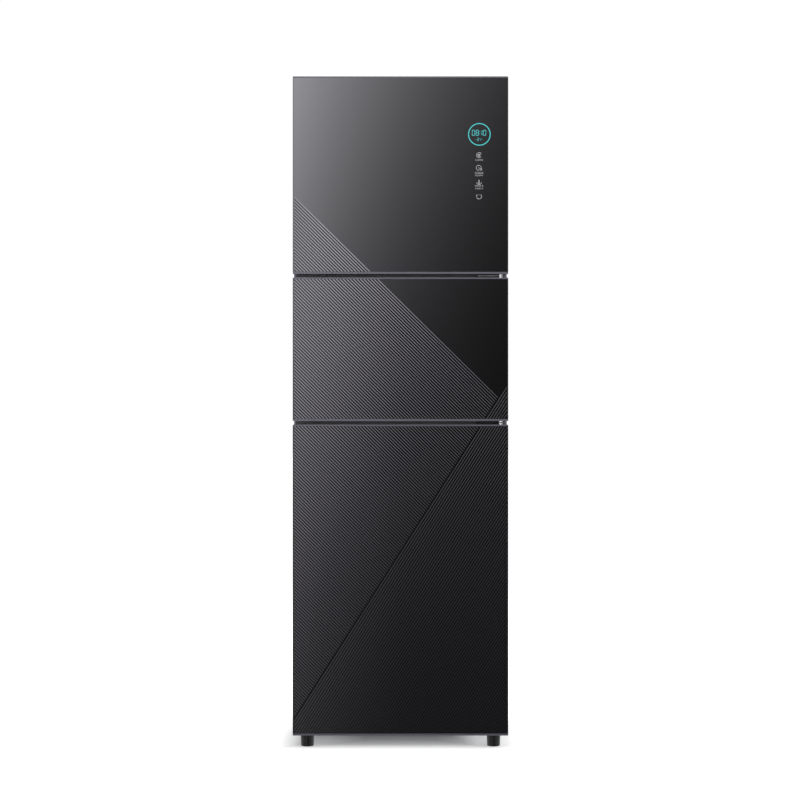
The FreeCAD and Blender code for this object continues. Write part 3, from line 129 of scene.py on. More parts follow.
class Finish:
    """A material, or the world, built from its nodes."""

    def __init__(self, name, tree=None):
        if tree is None:
            self.material = bpy.data.materials.new(name)
            self.material.use_nodes = True
            tree = self.material.node_tree
        self.tree = tree
        tree.nodes.clear()

    def node(self, kind, settings=None, inputs=None, output=0):
        """Adds a node, makes its settings, then fills its sockets, and gives back one output."""
        node = self.tree.nodes.new(kind)
        for name, value in (settings or {}).items():
            setattr(node, name, value)
        for name, value in (inputs or {}).items():
            socket = node.inputs[name]
            if isinstance(value, Field):
                self.tree.links.new(value.socket, socket)
            elif isinstance(value, tuple) and len(value) == 3 and socket.type == "RGBA":
                socket.default_value = (*value, 1.0)
            else:
                socket.default_value = value
        return Field(self, node.outputs[output])

    def place(self):
        return self.node("ShaderNodeTexCoord", output="Object")

    def axes(self, vector):
        parts = self.node("ShaderNodeSeparateXYZ", None, {"Vector": vector})
        outputs = parts.socket.node.outputs
        return [Field(self, outputs[axis]) for axis in range(3)]

    def towards_front(self):
        """How squarely the surface faces the front: 1 is straight to it."""
        normal = self.node("ShaderNodeTexCoord", output="Normal")
        return -self.axes(normal)[1]

    def stretched(self, scale):
        return self.node("ShaderNodeMapping", None, {"Vector": self.place(), "Scale": scale})

    def noise(self, scale, detail, vector=None, roughness=0.55):
        return self.node("ShaderNodeTexNoise", None, {
            "Vector": vector or self.place(), "Scale": scale, "Detail": detail,
            "Roughness": roughness})

    def drawn_along(self, axis):
        """The fine grain of brushing along one axis."""
        scale = [FINE_GRAIN] * 3
        scale["xyz".index(axis)] = LONG_GRAIN
        return self.noise(1.0, 4.0, self.stretched(tuple(scale)), 0.65)

    def between(self, factor, low, high):
        """A colour between two, by a factor."""
        return self.node("ShaderNodeMix", {"data_type": "RGBA"},
                         {MIX_FACTOR: factor, MIX_LOW: low, MIX_HIGH: high}, MIX_RESULT)

    def shades(self, factor, colour, low, high):
        """A colour between a darker and a paler shade of itself."""
        return self.between(factor, scaled(colour, low), scaled(colour, high))

    def bump(self, height, strength, distance):
        return self.node("ShaderNodeBump", None, {
            "Height": height, "Strength": strength, "Distance": distance})

    def surface(self, colour, roughness, metallic=0.0, normal=None, **own):
        """Closes the material with one Principled shader."""
        inputs = {"Base Color": colour, "Roughness": roughness, "Metallic": metallic}
        if normal:
            inputs["Normal"] = normal
        inputs.update({name.replace("_", " "): value for name, value in own.items()})
        self.close("ShaderNodeOutputMaterial", self.node("ShaderNodeBsdfPrincipled", None, inputs))
        return self.material

    def close(self, kind, shader):
        """Links the last shader to an output."""
        output = self.tree.nodes.new(kind)
        self.tree.links.new(shader.socket, output.inputs["Surface"])


def scaled(colour, factor):
    return tuple(channel * factor for channel in colour)


def second_degree(across, along, terms):
    """A law of two distances: its terms go with 1, across, along, across squared, across times
    along, and along squared."""
    constant, across_1, along_1, across_2, crossed, along_2 = terms
    return (across * (across * across_2 + along * crossed + across_1)
            + along * (along * along_2 + along_1) + constant)


# ------------------------------------------------------------------ finishes
FINE_GRAIN = 900.0              # grain per metre across the brushing
LONG_GRAIN = 9.0                # and along it
HAIRLINE = 0.02 * MM            # depth of brushing and drawing lines
DRAWN_LINES = (1400.0, 1400.0, 16.0)        # drawing lines per metre across and along the rails
WIPED = (1.0, 1.0, 0.4)         # the haze of wiping is longer up and down
CRYSTALS = 110.0                # zinc crystals per metre
TRACKS = 160.0                  # copper tracks per metre along either side of the board,
TRACK_GAP = 0.78                # share of their pitch that is open
TRACK_PATCHES = 70.0            # and patches of them per metre
GLASS_IOR = 1.5
RIM = 2.6 * MM                  # width of the door frames' rims beside the glass
RAIL_SIDE_SHADE = 0.25               # painted shade: tone of their rails' sides beside that of the fronts
SQUARE_ON = 0.9                 # least of towards_front() on a rail's front,
LEAF_EDGE = 0.7                 # on the hinge leaf's front edge
RIM_EDGE = 0.3                  # and on a rim, with its rounded corner
LEAF_HIGHLIGHT_LINE = 1.1338, 1.1355      # heights of the painted highlight, between which the upper middle hinge's leaf is bare
LIT_RADIUS = 26.9 * MM          # the display ring is dark outside it

SHADE_LAW_HEIGHT = 1.0            # height from which the law of the stripes' painted shade and light counts
MIRROR_LAW = (0.542, 1.252, -0.016, 0.073, 1.069, -0.112)
LEAST_MIRROR = 0.04                 # least mirror of the stripes, where their painted shade is deepest
MIRROR_TINT = (1.0, 0.985, 1.04)
LOWER_PART = 0.75               # under this height both prints grow brighter with painted light, the stripes by this much per square metre of distance and the dark print by this
MIRROR_BELOW = 0.2              # the stripes by this much per square metre of distance
DARK_BELOW = 0.1                # and the dark print by this
DARK_LEFT = 1.133               # how much paler the dark print grows per metre to the left, as painted sheen, and what the square of the height adds to that
DARK_LEFT_HIGH = 1.333          # and what the square of the height adds to that
# the dark print's black, and its palest painted sheen
DARK_INK_TO_SHEEN = (0.0013, 0.0013, 0.0014), (0.0313, 0.0313, 0.0325)


# Noise lies about 0.5, so a mean roughness has about half of the noise's share taken off it.
def brushed(name, colour, along, roughness):
    """Sheet metal with a brushed grain along one axis."""
    finish = Finish(name)
    grain = finish.drawn_along(along)
    clouds = finish.noise(5.0, 2.0)
    return finish.surface(finish.shades(clouds, colour, 0.93, 1.04),
                          grain * 0.16 + clouds * 0.05 + (roughness - 0.1), 1.0,
                          finish.bump(grain, 0.35, HAIRLINE))


def hinge_leaf_shade(name, bare, black):
    """Painted shade in black, with a bare brushed line on the front edge of one hinge's leaf as
    painted highlight.
    """
    finish = Finish(name)
    grain = finish.drawn_along("x")
    _, _, z = finish.axes(finish.place())
    low, high = LEAF_HIGHLIGHT_LINE
    # painted highlight: bare steel only in a thin line on the front edge; painted shade: black
    # elsewhere
    line = (finish.towards_front() > LEAF_EDGE).at_most(z > low).at_most(z < high)
    tint = finish.between(line, black, finish.shades(grain, bare, 0.9, 1.1))
    return finish.surface(tint, grain * 0.16 + 0.32, 1.0, finish.bump(grain, 0.35, HAIRLINE))


def painted(name, colour, roughness, grain_size=FINE_GRAIN, depth=0.04 * MM):
    """Powder coat or moulded plastic: a fine even grain over faint clouds of tone."""
    finish = Finish(name)
    grain = finish.noise(grain_size, 2.0)
    clouds = finish.noise(7.0, 3.0)
    return finish.surface(finish.shades(clouds, colour, 0.94, 1.06),
                          clouds * 0.08 + grain * 0.06 + (roughness - 0.07), 0.0,
                          finish.bump(grain, 0.5, depth))


def plated(name, colour, roughness):
    """Bright drawn wire and turned pins."""
    finish = Finish(name)
    drawn = finish.noise(260.0, 3.0)
    haze = finish.noise(18.0, 2.0)
    return finish.surface(finish.shades(haze, colour, 0.92, 1.0),
                          drawn * 0.06 + haze * 0.08 + (roughness - 0.07), 1.0,
                          finish.bump(drawn, 0.2, HAIRLINE))


def galvanised(name, dark, pale):
    """Zinc-coated sheet with its patchwork of crystals."""
    finish = Finish(name)
    crystals = finish.node("ShaderNodeTexVoronoi", None,
                           {"Vector": finish.place(), "Scale": CRYSTALS}, "Color")
    flake = finish.axes(crystals)[0]
    clouds = finish.noise(9.0, 3.0)
    return finish.surface(finish.between(flake, dark, pale), flake * 0.14 + clouds * 0.1 + 0.3, 0.9,
                          finish.bump(flake, 0.12, 0.03 * MM))


def black_glass(name, dark, pale):
    """Toughened glass, printed black behind: very smooth, with a faint haze of wiping."""
    finish = Finish(name)
    wiped = finish.noise(3.0, 4.0, finish.stretched(WIPED))
    return finish.surface(finish.between(wiped, dark, pale), wiped * 0.03 + 0.035, 0.0,
                          Specular_IOR_Level=1.0, IOR=GLASS_IOR)


def painted_light_below(z):
    """Square of the distance down from the height under which the prints get painted light."""
    below = (LOWER_PART - z).at_least(0.0)
    return below * below


def mirror_ink():
    """Half-mirror metal of the stripes, with painted shade by the upper left and painted light away
    from it.
    """
    finish = Finish("mirror_ink")
    x, _, z = finish.axes(finish.place())
    # the stripes' mirror carries painted shade and painted light
    mirror_shade_and_light = second_degree(x, z - SHADE_LAW_HEIGHT, MIRROR_LAW) + painted_light_below(z) * MIRROR_BELOW
    mirror_shade_and_light = mirror_shade_and_light.at_least(LEAST_MIRROR)
    return finish.surface(finish.between(mirror_shade_and_light, BLACK, MIRROR_TINT), mirror_shade_and_light * 0.02 + 0.045, 1.0)


def dark_ink():
    """Black print between the stripes, with a painted sheen towards the upper left and low down."""
    finish = Finish("dark_ink")
    x, _, z = finish.axes(finish.place())
    left = (-x).at_least(0.0)
    # painted sheen: the dark print grows paler to the upper left and low down
    paler = left * (z * z * DARK_LEFT_HIGH + DARK_LEFT) + painted_light_below(z) * DARK_BELOW
    return finish.surface(finish.between(paler, *DARK_INK_TO_SHEEN), paler * 0.02 + 0.05, 0.0,
                          Specular_IOR_Level=0.375, IOR=GLASS_IOR)


def anodised(name, colour, rim_colour, roughness):
    """Anodised aluminium, faint drawing lines, rail sides in painted shade, black gloss on rims by
    the glass.
    """
    finish = Finish(name)
    lines = finish.noise(1.0, 4.0, finish.stretched(DRAWN_LINES), 0.6)
    clouds = finish.noise(12.0, 2.0)
    x, _, z = finish.axes(finish.place())
    facing = finish.towards_front()
    beside_glass = 0.0
    for door in DOORS:
        low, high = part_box(door + "_door_glass")
        beside_glass = (z > low.z).at_most(high.z > z) + beside_glass
    rim = (facing > RIM_EDGE).at_most(abs(x) > HALF_WIDTH - RIM).at_most(beside_glass)
    # painted shade: the rails' sides are darker than their fronts
    satin_and_side_shade = finish.between(facing > SQUARE_ON, scaled(colour, RAIL_SIDE_SHADE),
                           finish.shades(clouds, colour, 0.94, 1.05))
    return finish.surface(finish.between(rim, satin_and_side_shade, rim_colour),
                          (lines * 0.1 + (roughness - 0.05)) * (1.0 - rim * 0.7), 0.45 - rim * 0.45,
                          finish.bump(lines, 0.25, HAIRLINE), Specular_IOR_Level=0.8)


def clear_tube(name, colour, frost):
    """Tube glass with a frosted inside."""
    finish = Finish(name)
    haze = finish.noise(60.0, 2.0)
    return finish.surface(finish.shades(haze, colour, 0.94, 1.0), haze * 0.08 + frost, 0.0,
                          Transmission_Weight=0.55, IOR=1.45)


def circuit(name, mask, copper):
    """Solder mask with copper tracks under it."""
    finish = Finish(name)
    x, _, z = finish.axes(finish.place())
    tracks = (x * TRACKS + z * TRACKS).fract() > TRACK_GAP
    tracks = tracks.at_most(finish.noise(TRACK_PATCHES, 0.0) > 0.5)
    return finish.surface(finish.between(tracks, mask, copper), 0.34 - tracks * 0.06, 0.0,
                          finish.bump(tracks, 0.4, 0.04 * MM))


def glowing(name, colour, strength, body):
    """Lit plastic or print: its own light over a body colour."""
    finish = Finish(name)
    cells = finish.noise(220.0, 2.0)
    return finish.surface(body, 0.3, 0.0, Emission_Color=finish.shades(cells, colour, 0.9, 1.0),
                          Emission_Strength=strength)


def lit_ring(name, colour, strength, body):
    """Light guide of the display, dark along its outer rim."""
    finish = Finish(name)
    low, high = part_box("display_ring")
    x, _, z = finish.axes(finish.place())
    across = x - (low.x + high.x) / 2
    up = z - (low.z + high.z) / 2
    lit = across * across + up * up < LIT_RADIUS ** 2
    return finish.surface(body, 0.3, 0.0, Emission_Color=finish.between(lit, BLACK, colour),
                          Emission_Strength=strength)


TEAL = (0.045, 0.62, 0.63)
PRINT_GREY = (0.25, 0.25, 0.26)
FINISHES = {
    "case_paint": painted("case_paint", (0.115, 0.108, 0.145), 0.42),
    "face_paint": painted("face_paint", (0.066, 0.065, 0.070), 0.46),
    "galvanised_sheet": galvanised("galvanised_sheet", (0.44, 0.45, 0.47), (0.56, 0.57, 0.59)),
    "stainless_sheet": brushed("stainless_sheet", (0.60, 0.60, 0.61), "x", 0.30),
    # hinges: black as painted shade, with one bare line as painted highlight
    "zinc_steel": hinge_leaf_shade("zinc_steel", (0.52, 0.52, 0.48), (0.035, 0.035, 0.036)),
    "bright_steel": plated("bright_steel", (0.74, 0.74, 0.76), 0.16),
    "black_plastic": painted("black_plastic", (0.014, 0.014, 0.015), 0.48, 1500.0, 0.08 * MM),
    "black_gloss": painted("black_gloss", (0.010, 0.010, 0.011), 0.20, 300.0, 0.01 * MM),
    "door_aluminium": anodised("door_aluminium", (0.066, 0.064, 0.082), (0.004, 0.004, 0.0045),
                               0.42),
    "black_glass": black_glass("black_glass", (0.0004, 0.0004, 0.0005), (0.0009, 0.0009, 0.0010)),
    "seal_silicone": painted("seal_silicone", (0.13, 0.13, 0.135), 0.62, 1200.0, 0.06 * MM),
    "bush_plastic": painted("bush_plastic", (0.72, 0.72, 0.69), 0.38),
    "circuit_board": circuit("circuit_board", (0.012, 0.085, 0.040), (0.045, 0.19, 0.085)),
    "heater_alloy": brushed("heater_alloy", (0.62, 0.62, 0.62), "x", 0.4),
    "lamp_glass": clear_tube("lamp_glass", (0.78, 0.84, 0.92), 0.12),
    "quartz_glass": clear_tube("quartz_glass", (0.88, 0.85, 0.80), 0.35),
    "white_ceramic": painted("white_ceramic", (0.78, 0.76, 0.71), 0.55, 500.0, 0.06 * MM),
    "white_plastic": painted("white_plastic", (0.76, 0.76, 0.75), 0.40),
    "reflector_aluminium": brushed("reflector_aluminium", (0.80, 0.80, 0.81), "x", 0.22),
    "light_guide": lit_ring("light_guide", TEAL, 0.92, (0.004, 0.006, 0.006)),
}
MIRROR_INK = mirror_ink()
DARK_INK = dark_ink()
DIGIT_LIGHT = glowing("digit_light", TEAL, 0.9, (0.02, 0.06, 0.06))
ICON_PRINT = glowing("icon_print", PRINT_GREY, 0.9, (0.23, 0.23, 0.24))


def finish_nodes():
    """Gives every CAD node the finish of its slot."""
    for part in frame["record"]["subparts"]:
        node = NODES[part["node"]]
        node.data.materials.clear()
        node.data.materials.append(FINISHES[part["material_slot"]])


EDGE_BREAK = 0.8 * MM
SHARP = math.radians(50.0)      # only edges sharper than this are broken


def worn_edges(node):
    """Breaks the sharp edges of a node's cut bars."""
    bevel = NODES[node].modifiers.new("broken_edge", "BEVEL")
    bevel.width = EDGE_BREAK
    bevel.segments = 2
    bevel.limit_method = "ANGLE"
    bevel.angle_limit = SHARP


# ------------------------------------------------------------------ thin prints on the door glass
SUNK = 0.05                     # how far a print's plate reaches into the glass, in millimetres


def glass_face(door):
    """Left, right, low, high and front of a door's glass, in millimetres."""
    low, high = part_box(door + "_door_glass")
    return [value / MM for value in (low.x, high.x, low.z, high.z, low.y)]


def clipped(outline, normal, limit):
    """The part of a flat outline on the side of a line where normal . point is at most limit."""
    kept = []
    for index, point in enumerate(outline):
        before = outline[index - 1]
        here = normal[0] * point[0] + normal[1] * point[1] - limit
        there = normal[0] * before[0] + normal[1] * before[1] - limit
        if (here <= 0) != (there <= 0):
            share = there / (there - here)
            kept.append((before[0] + share * (point[0] - before[0]),
                         before[1] + share * (point[1] - before[1])))
        if here <= 0:
            kept.append(point)
    return kept


def plates(name, outlines, front, thickness, material, body):
    """Thin raised plates with upright outlines (x, z), all one piece, that stand on the glass."""
    mesh = bpy.data.meshes.new(name)
    build = bmesh.new()
    for outline in outlines:
        near, far = [[build.verts.new((x * MM, y * MM, z * MM)) for x, z in outline]
                     for y in (front - thickness, front + SUNK)]
        build.faces.new(near)
        build.faces.new(far[::-1])
        for index in range(len(outline)):
            build.faces.new((near[index - 1], far[index - 1], far[index], near[index]))
    bmesh.ops.recalc_face_normals(build, faces=build.faces)
    build.to_mesh(mesh)
    build.free()
    piece = bpy.data.objects.new(name, mesh)
    bpy.context.scene.collection.objects.link(piece)
    mesh.materials.append(material)
    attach(piece, body)


# ------------------------------------------------------------------ striped coating, in millimetres
def heading(degrees, side):
    """Unit normal of lines at an angle to the level; side is the sign of their normal's z."""
    angle = math.radians(degrees)
    return math.sin(angle), side * math.cos(angle)


STRIPE_PITCH = 5.73
STRIPE_WIDTH = 2.0
STRIPE_THICKNESS = 0.12
MOST_STRIPES = 400              # more than either field has
FALLING = heading(44.54, 1.0)   # stripes that fall to the right, left of and below their edge
FALLING_EDGE = 764.6
RISING = heading(57.54, -1.0)   # stripes that rise to the right, in the lower right corner
RISING_EDGE = -254.15
SEAM = 4.6                      # bare line between the two fields of stripes
GLASS_EDGE = 0.6                # bare margin along the edge of the glass


def striped(outline, normal, start, step):
    """Stripes of one field, counted from its edge, and the gaps between them."""
    reach = [normal[0] * x + normal[1] * z for x, z in outline]
    stripes, gaps = [], []
    for count in range(MOST_STRIPES):
        edge = start + step * count * STRIPE_PITCH
        for strips, first, last in ((stripes, 0.0, STRIPE_WIDTH),
                                    (gaps, STRIPE_WIDTH, STRIPE_PITCH)):
            low, high = sorted((edge + step * first, edge + step * last))
            if high < min(reach) or low > max(reach):
                continue
            strip = clipped(clipped(outline, normal, high), scaled(normal, -1.0), -low)
            if len(strip) > 2:
                strips.append(strip)
    return stripes, gaps


def door_stripes(door):
    """The coating of one door: its bright stripes, and the dark print between them."""
    left, right, low, high, front = glass_face(door)
    left, right = left + GLASS_EDGE, right - GLASS_EDGE
    low, high = low + GLASS_EDGE, high - GLASS_EDGE
    pane = [(left, low), (right, low), (right, high), (left, high)]
    falling = clipped(clipped(pane, FALLING, FALLING_EDGE), RISING, RISING_EDGE - SEAM / 2)
    rising = clipped(pane, scaled(RISING, -1.0), -RISING_EDGE - SEAM / 2)
    stripes, gaps = [], []
    for field, normal, start, step in ((falling, FALLING, FALLING_EDGE, -1),
                                       (rising, RISING, RISING_EDGE + SEAM / 2, 1)):
        if len(field) > 2:
            bright, dark = striped(field, normal, start, step)
            stripes += bright
            gaps += dark
    for name, outlines, thickness, ink in (
            ("_glass_stripes", stripes, STRIPE_THICKNESS, MIRROR_INK),
            ("_stripe_gaps", gaps, STRIPE_THICKNESS / 2, DARK_INK)):
        plates(door + name, outlines, front, thickness, ink, door + "_door")


# ------------------------------------------------------------------ display, in millimetres
RING_LOW, RING_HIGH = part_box("display_ring")
RING_X = (RING_LOW.x + RING_HIGH.x) / 2 / MM
RING_Z = (RING_LOW.z + RING_HIGH.z) / 2 / MM
PRINT_X = RING_X - 0.8          # the prints' middle line lies a little left of the ring's
PRINT_THICKNESS = 0.1
ARC_STEP = 12                   # degrees
SMALL_DISC = 10                 # corners of the smallest discs
SEGMENTS = {
    "0": "abcdef", "1": "bc", "2": "abged", "3": "abgcd", "4": "fgbc", "5": "afgcd", "6": "afgedc",
    "7": "abc", "8": "abcdefg", "9": "abcdfg",
}
SEGMENT_GAP = 0.09              # share of a numeral's size left open between two segments
SLANT = 0.04                    # lean of the numerals, as a share of their height
PLACES = {"1": 0.3, ":": 0.0, " ": 0.1}     # widths of narrow signs, as shares of a numeral's
COLON = (0.3, 0.7)              # heights of a colon's dots,
COLON_DOT = 0.6                 # and their radius, as a share of a stroke's width


def stroke(start, end, width):
    """A straight bar from one point to another."""
    run = Vector(end) - Vector(start)
    across = Vector((-run.y, run.x)).normalized() * width / 2
    corners = ((start, -1), (end, -1), (end, 1), (start, 1))
    return [tuple(Vector(point) + across * side) for point, side in corners]


def on_circle(centre, radius, angle):
    """The point of a circle at an angle in radians."""
    return centre[0] + radius * math.cos(angle), centre[1] + radius * math.sin(angle)


def arc(centre, inner, outer, start, end):
    """Part of a flat ring, between two angles in degrees; a whole ring comes in two halves."""
    steps = max(3, int(abs(end - start) / ARC_STEP))
    turn = [math.radians(start + (end - start) * step / steps) for step in range(steps + 1)]
    near, far = [[on_circle(centre, radius, angle) for angle in turn] for radius in (inner, outer)]
    if abs(end - start) < 360:
        return [near + far[::-1]]
    half = steps // 2
    return [near[:half + 1] + far[:half + 1][::-1], near[half:] + far[half:][::-1]]


def disc(centre, radius, corners):
    """A flat disc, with this many corners."""
    return [on_circle(centre, radius, 2 * math.pi * corner / corners) for corner in range(corners)]


def digit(character, left, low, width, height, weight):
    """One seven-segment numeral."""
    side = SEGMENT_GAP
    end = SEGMENT_GAP / 2
    ends = {
        "a": ((side, 1), (1 - side, 1)), "g": ((side, 0.5), (1 - side, 0.5)),
        "d": ((side, 0), (1 - side, 0)), "b": ((1, 1 - end), (1, 0.5 + end)),
        "c": ((1, 0.5 - end), (1, end)), "e": ((0, 0.5 - end), (0, end)),
        "f": ((0, 1 - end), (0, 0.5 + end)),
    }
    return [stroke(*((left + across * width + SLANT * up * height, low + up * height)
                     for across, up in ends[name]), weight) for name in SEGMENTS[character]]


def numerals(text, centre_x, low, width, height, weight, space):
    """A row of numerals, with narrow ones, colons and blanks."""
    places = [PLACES.get(character, 1.0) for character in text]
    total = sum(places) * width + (len(text) - 1) * space
    left = centre_x - total / 2 - SLANT * height / 2
    found = []
    for character, place in zip(text, places):
        if character == ":":
            for up in COLON:
                dot = (left + width * place / 2 + SLANT * up * height, low + up * height)
                found.append(disc(dot, weight * COLON_DOT, SMALL_DISC))
        elif character in SEGMENTS:
            found += digit(character, left - (1.0 - place) * width, low, width, height, weight)
        left += place * width + space
    return found


SYMBOL_RADIUS = 6.5
SYMBOL_INSIDE = SYMBOL_RADIUS - 0.95        # inner radius of a symbol's ring


def fan_symbol(x, z):
    """Drying: an open circle round a small impeller, and a dot in its gap."""
    hub, blade, blade_width, blades, dot = 2.5, 4.0, 1.3, 5, 1.2
    found = arc((x, z), SYMBOL_INSIDE, SYMBOL_RADIUS, 52, 322)
    found.append(disc((x, z), hub, 16))
    for count in range(blades):
        tip = on_circle((x, z), blade, math.radians(18 + 360 / blades * count))
        found.append(stroke((x, z), tip, blade_width))
    found.append(disc((x + 4.0, z + 4.9), dot, SMALL_DISC))
    return found


def clock_symbol(x, z):
    """Timed heating: an open clock face with one hand, and a small ring at its lower right."""
    x -= 0.6
    hand = stroke((x - 1.2, z + 1.4), (x + 1.4, z - 1.0), 0.8)
    small_ring = arc((x + 4.9, z - 3.3), 1.8, 2.9, 0, 360)
    return arc((x, z), SYMBOL_INSIDE, SYMBOL_RADIUS, 5, 278) + [hand] + small_ring


def dish_symbol(x, z):
    """Warming: a broad stem over a shallow curved dish."""
    stem = stroke((x, z + 4.6), (x, z - 5.4), 1.9)
    return arc((x, z), SYMBOL_INSIDE, SYMBOL_RADIUS, 190, 350) + [stem]


def power_symbol(x, z):
    """An open ring with a short stroke in its gap."""
    bar = stroke((x, z + 1.8), (x, z + 5.2), 0.6)
    return arc((x, z), SYMBOL_INSIDE - 0.1, SYMBOL_RADIUS, 132, 408) + [bar]


# Places down from the ring's centre; a row of numbers also has its height
SYMBOLS = ((fan_symbol, 49.8), (clock_symbol, 80.0), (dish_symbol, 113.6), (power_symbol, 148.2))
LABELS = (("15 30 45 60", 61.3, 3.0), ("20 40 60 80", 92.6, 4.4), ("10 20 30 40", 98.3, 2.3),
          ("40 50 60 70", 123.2, 3.8), ("45 55 65 75", 129.3, 2.4))
LABEL_DIGITS = {"width": 1.45, "weight": 0.4, "space": 0.7}
TIME_DIGITS = {"low": RING_Z - 2.6, "width": 6.0, "height": 12.6, "weight": 1.35, "space": 3.2}
SETTING_DIGITS = {"low": RING_Z - 15.2, "width": 4.2, "height": 6.2, "weight": 0.9, "space": 3.0}


def setting():
    """The smaller numerals between two dashes."""
    found = numerals("21", PRINT_X, **SETTING_DIGITS)
    apart, half, width, height = 8.4, 0.8, 0.7, RING_Z - 12.1
    for side in (-1, 1):
        middle = RING_X - 0.4 + side * apart
        found.append(stroke((middle - half, height), (middle + half, height), width))
    return found


def display():
    """The lit digits inside the ring, and the touch symbols with their numbers under it."""
    symbols = [outline for symbol, down in SYMBOLS for outline in symbol(PRINT_X, RING_Z - down)]
    labels = [outline for text, down, height in LABELS
              for outline in numerals(text, PRINT_X, RING_Z - down - height / 2, height=height,
                                      **LABEL_DIGITS)]
    *_, front = glass_face("upper")
    for name, outlines, material, slot in (
            ("display_time", numerals("08:10", PRINT_X, **TIME_DIGITS), DIGIT_LIGHT, "light_guide"),
            ("display_setting", setting(), DIGIT_LIGHT, "light_guide"),
            ("touch_symbols", symbols, ICON_PRINT, "white_plastic"),
            ("touch_labels", labels, ICON_PRINT, "white_plastic")):
        plates(name, outlines, front, PRINT_THICKNESS, material, "upper_door")


# ------------------------------------------------------------------ studio
CAMERA_PLACE = (-0.0011, -5.705, 0.83675)
CAMERA_LENS = 103.6
CARD_BEFORE = 3.0               # distance of the graded card in front of the doors
CARD_LAW = (-1.68, -1.62, -2.32, -0.096, -0.52, -0.49)      # of its light's logarithm
CARD_ACROSS, CARD_DOWN = 0.239, 0.717       # distances at the doors that count as one in that law
CARD_CORNERS = ((-1.2, -1.4), (1.2, -1.4), (1.2, 3.2), (-1.2, 3.2))
CARD_LEAST, CARD_MOST = 0.03, 6.0           # strengths
CARD_COLOUR = (1.0, 0.985, 1.05)
FLOOR_REACH = 30.0
FLOOR_TONE = (0.95, 0.95, 0.95)
FLOOR_LIFT = 0.75               # most light that the floor gives of its own
BESIDE_LIFT = (-0.03, 9.0)      # where that light starts, out from the cabinet, and how it grows
BEHIND_LIFT = (0.0, 4.0)
FRONT_LIFTS = ((-0.25, 1.1), (-0.125, 5.8))
RIGHT_LIFT, RIGHT_LIFT_MOST = (-0.13, 5.0), 0.3
FLOOR_SHADOW_PAINT, FLOOR_SHADOW_PAINT_MOST = (0.07, 5.0), 0.5      # painted shadow: the floor's colour darkens inwards under the cabinet
LAMPS = (                       # name, place, target, size and power
    ("front_lamp", (0.6, -4.8, 1.85), (0.0, 0.0, 1.5), (4.4, 3.6), 150.0),
    ("side_lamp", (3.0, -1.6, 2.6), (0.0, 0.0, 0.8), (1.6, 2.2), 24.0),
    ("rear_lamp", (0.6, 3.2, 3.0), (0.0, 0.2, 0.9), (2.4, 1.6), 40.0),
)
WORLD_SEEN = 1.02               # strength of the world where it is seen,
WORLD_DIFFUSE = 0.45            # where it lights matt faces,
WORLD_MIRRORED = 0.75           # and where it is mirrored, at the sides and behind;
MIRRORED_BEFORE = -0.6          # what is added to that straight before the cabinet,
MIRRORED_ABOVE = 0.35           # and straight above it


def camera():
    """Level, and square to the doors."""
    data = bpy.data.cameras.new("camera")
    data.lens = CAMERA_LENS
    data.sensor_width = 36.0
    data.clip_end = 60.0
    made = bpy.data.objects.new("camera", data)
    made.location = CAMERA_PLACE
    made.rotation_euler = (math.radians(90.0), 0.0, 0.0)
    bpy.context.scene.collection.objects.link(made)
    bpy.context.scene.camera = made


def sheet(name, corners, material):
    """A flat sheet of the studio, from its four corners."""
    mesh = bpy.data.meshes.new(name)
    mesh.from_pydata(corners, [], [(0, 1, 2, 3)])
    mesh.materials.append(material)
    made = bpy.data.objects.new(name, mesh)
    bpy.context.scene.collection.objects.link(made)
    return made


def ray_kind(finish, kind):
    """1 for rays of one kind and 0 for the others."""
    return finish.node("ShaderNodeLightPath", output=kind)


def ramp(distance, law):
    """Grows evenly with a distance, from the law's start at the law's rate."""
    start, rate = law
    return (distance - start) * rate


def floor():
    """White floor: soft shadow near the feet, painted shadow under the cabinet, lifted to plain
    white beyond.
    """
    finish = Finish("studio_floor")
    x, y, _ = finish.axes(finish.place())
    right = x - HALF_WIDTH
    beside = abs(x) - HALF_WIDTH
    behind = y - BACK_Y
    before = FRONT_Y - y
    lift = ramp(right, RIGHT_LIFT).at_most(RIGHT_LIFT_MOST).at_least(0.0)
    lift = lift.at_least(ramp(beside, BESIDE_LIFT)).at_least(ramp(behind, BEHIND_LIFT))
    for law in FRONT_LIFTS:
        lift = lift.at_least(ramp(before, law))
    lift = lift.at_most(FLOOR_LIFT) * ray_kind(finish, "Is Camera Ray")
    inside = -(beside.at_least(behind).at_least(before))
    # painted shadow: the floor's colour darkens inwards under the cabinet
    painted_shadow = ramp(inside, FLOOR_SHADOW_PAINT).at_least(0.0).at_most(FLOOR_SHADOW_PAINT_MOST)
    finish.surface(finish.between(painted_shadow, FLOOR_TONE, BLACK), 0.9, Specular_IOR_Level=0.0,
                   Emission_Color=finish.between(lift, BLACK, WHITE), Emission_Strength=1.0)
    reach = FLOOR_REACH
    corners = [(-reach, -reach, 0), (reach, -reach, 0), (reach, reach, 0), (-reach, reach, 0)]
    made = sheet("studio_floor", corners, finish.material)
    made.visible_glossy = False


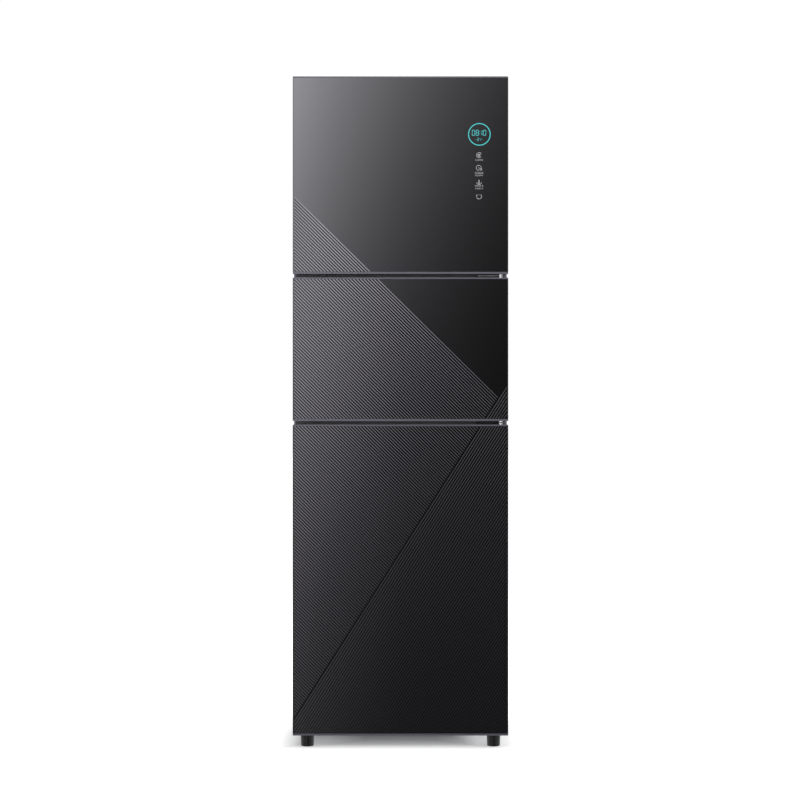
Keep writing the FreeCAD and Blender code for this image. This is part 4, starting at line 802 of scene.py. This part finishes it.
def graded_card():
    """Soft light box that the doors mirror: bright at its upper left, fading down and right."""
    finish = Finish("graded_card")
    x, _, z = finish.axes(finish.place())
    spread = 1.0 + CARD_BEFORE / (FRONT_Y - CAMERA_PLACE[1])
    right = (x - CAMERA_PLACE[0]) * (1.0 / spread / CARD_ACROSS)
    down = (CAMERA_PLACE[2] - z) * (1.0 / spread / CARD_DOWN)
    power = second_degree(right, down, CARD_LAW).exp() + CARD_LEAST
    finish.close("ShaderNodeOutputMaterial", finish.node("ShaderNodeEmission", None, {
        "Color": CARD_COLOUR, "Strength": power.at_most(CARD_MOST)}))
    y = FRONT_Y - CARD_BEFORE
    made = sheet("graded_card", [(across, y, up) for across, up in CARD_CORNERS], finish.material)
    made.visible_camera = False
    made.visible_diffuse = False
    made.visible_transmission = False
    made.visible_shadow = False


def lamp(name, place, target, size, power):
    """A soft rectangular lamp, turned to its target."""
    data = bpy.data.lights.new(name, "AREA")
    data.shape = "RECTANGLE"
    data.size, data.size_y = size
    data.energy = power
    made = bpy.data.objects.new(name, data)
    made.location = place
    made.rotation_euler = (Vector(target) - Vector(place)).to_track_quat("-Z", "Y").to_euler()
    bpy.context.scene.collection.objects.link(made)


def world():
    """White all round: a little over 1 where it is seen, graded in mirrors, dimmer elsewhere."""
    studio_world = bpy.data.worlds.new("studio")
    bpy.context.scene.world = studio_world
    studio_world.use_nodes = True
    finish = Finish("studio", studio_world.node_tree)
    _, ahead, up = finish.axes(finish.node("ShaderNodeTexCoord", output="Generated"))
    camera_ray = ray_kind(finish, "Is Camera Ray")
    glossy_ray = ray_kind(finish, "Is Glossy Ray")
    mirrored = ((-ahead).at_least(0.0) * MIRRORED_BEFORE + up.at_least(0.0) * MIRRORED_ABOVE
                + WORLD_MIRRORED)
    strength = (camera_ray * WORLD_SEEN + glossy_ray * mirrored
                + (1.0 - camera_ray - glossy_ray) * WORLD_DIFFUSE)
    finish.close("ShaderNodeOutputWorld", finish.node("ShaderNodeBackground", None, {
        "Color": WHITE, "Strength": strength}))


finish_nodes()
for name in DOORS:
    door_stripes(name)
    worn_edges(name + "_door_frame")
display()
camera()
floor()
graded_card()
world()
for settings in LAMPS:
    lamp(*settings)
bpy.context.scene.view_settings.view_transform = "Standard"
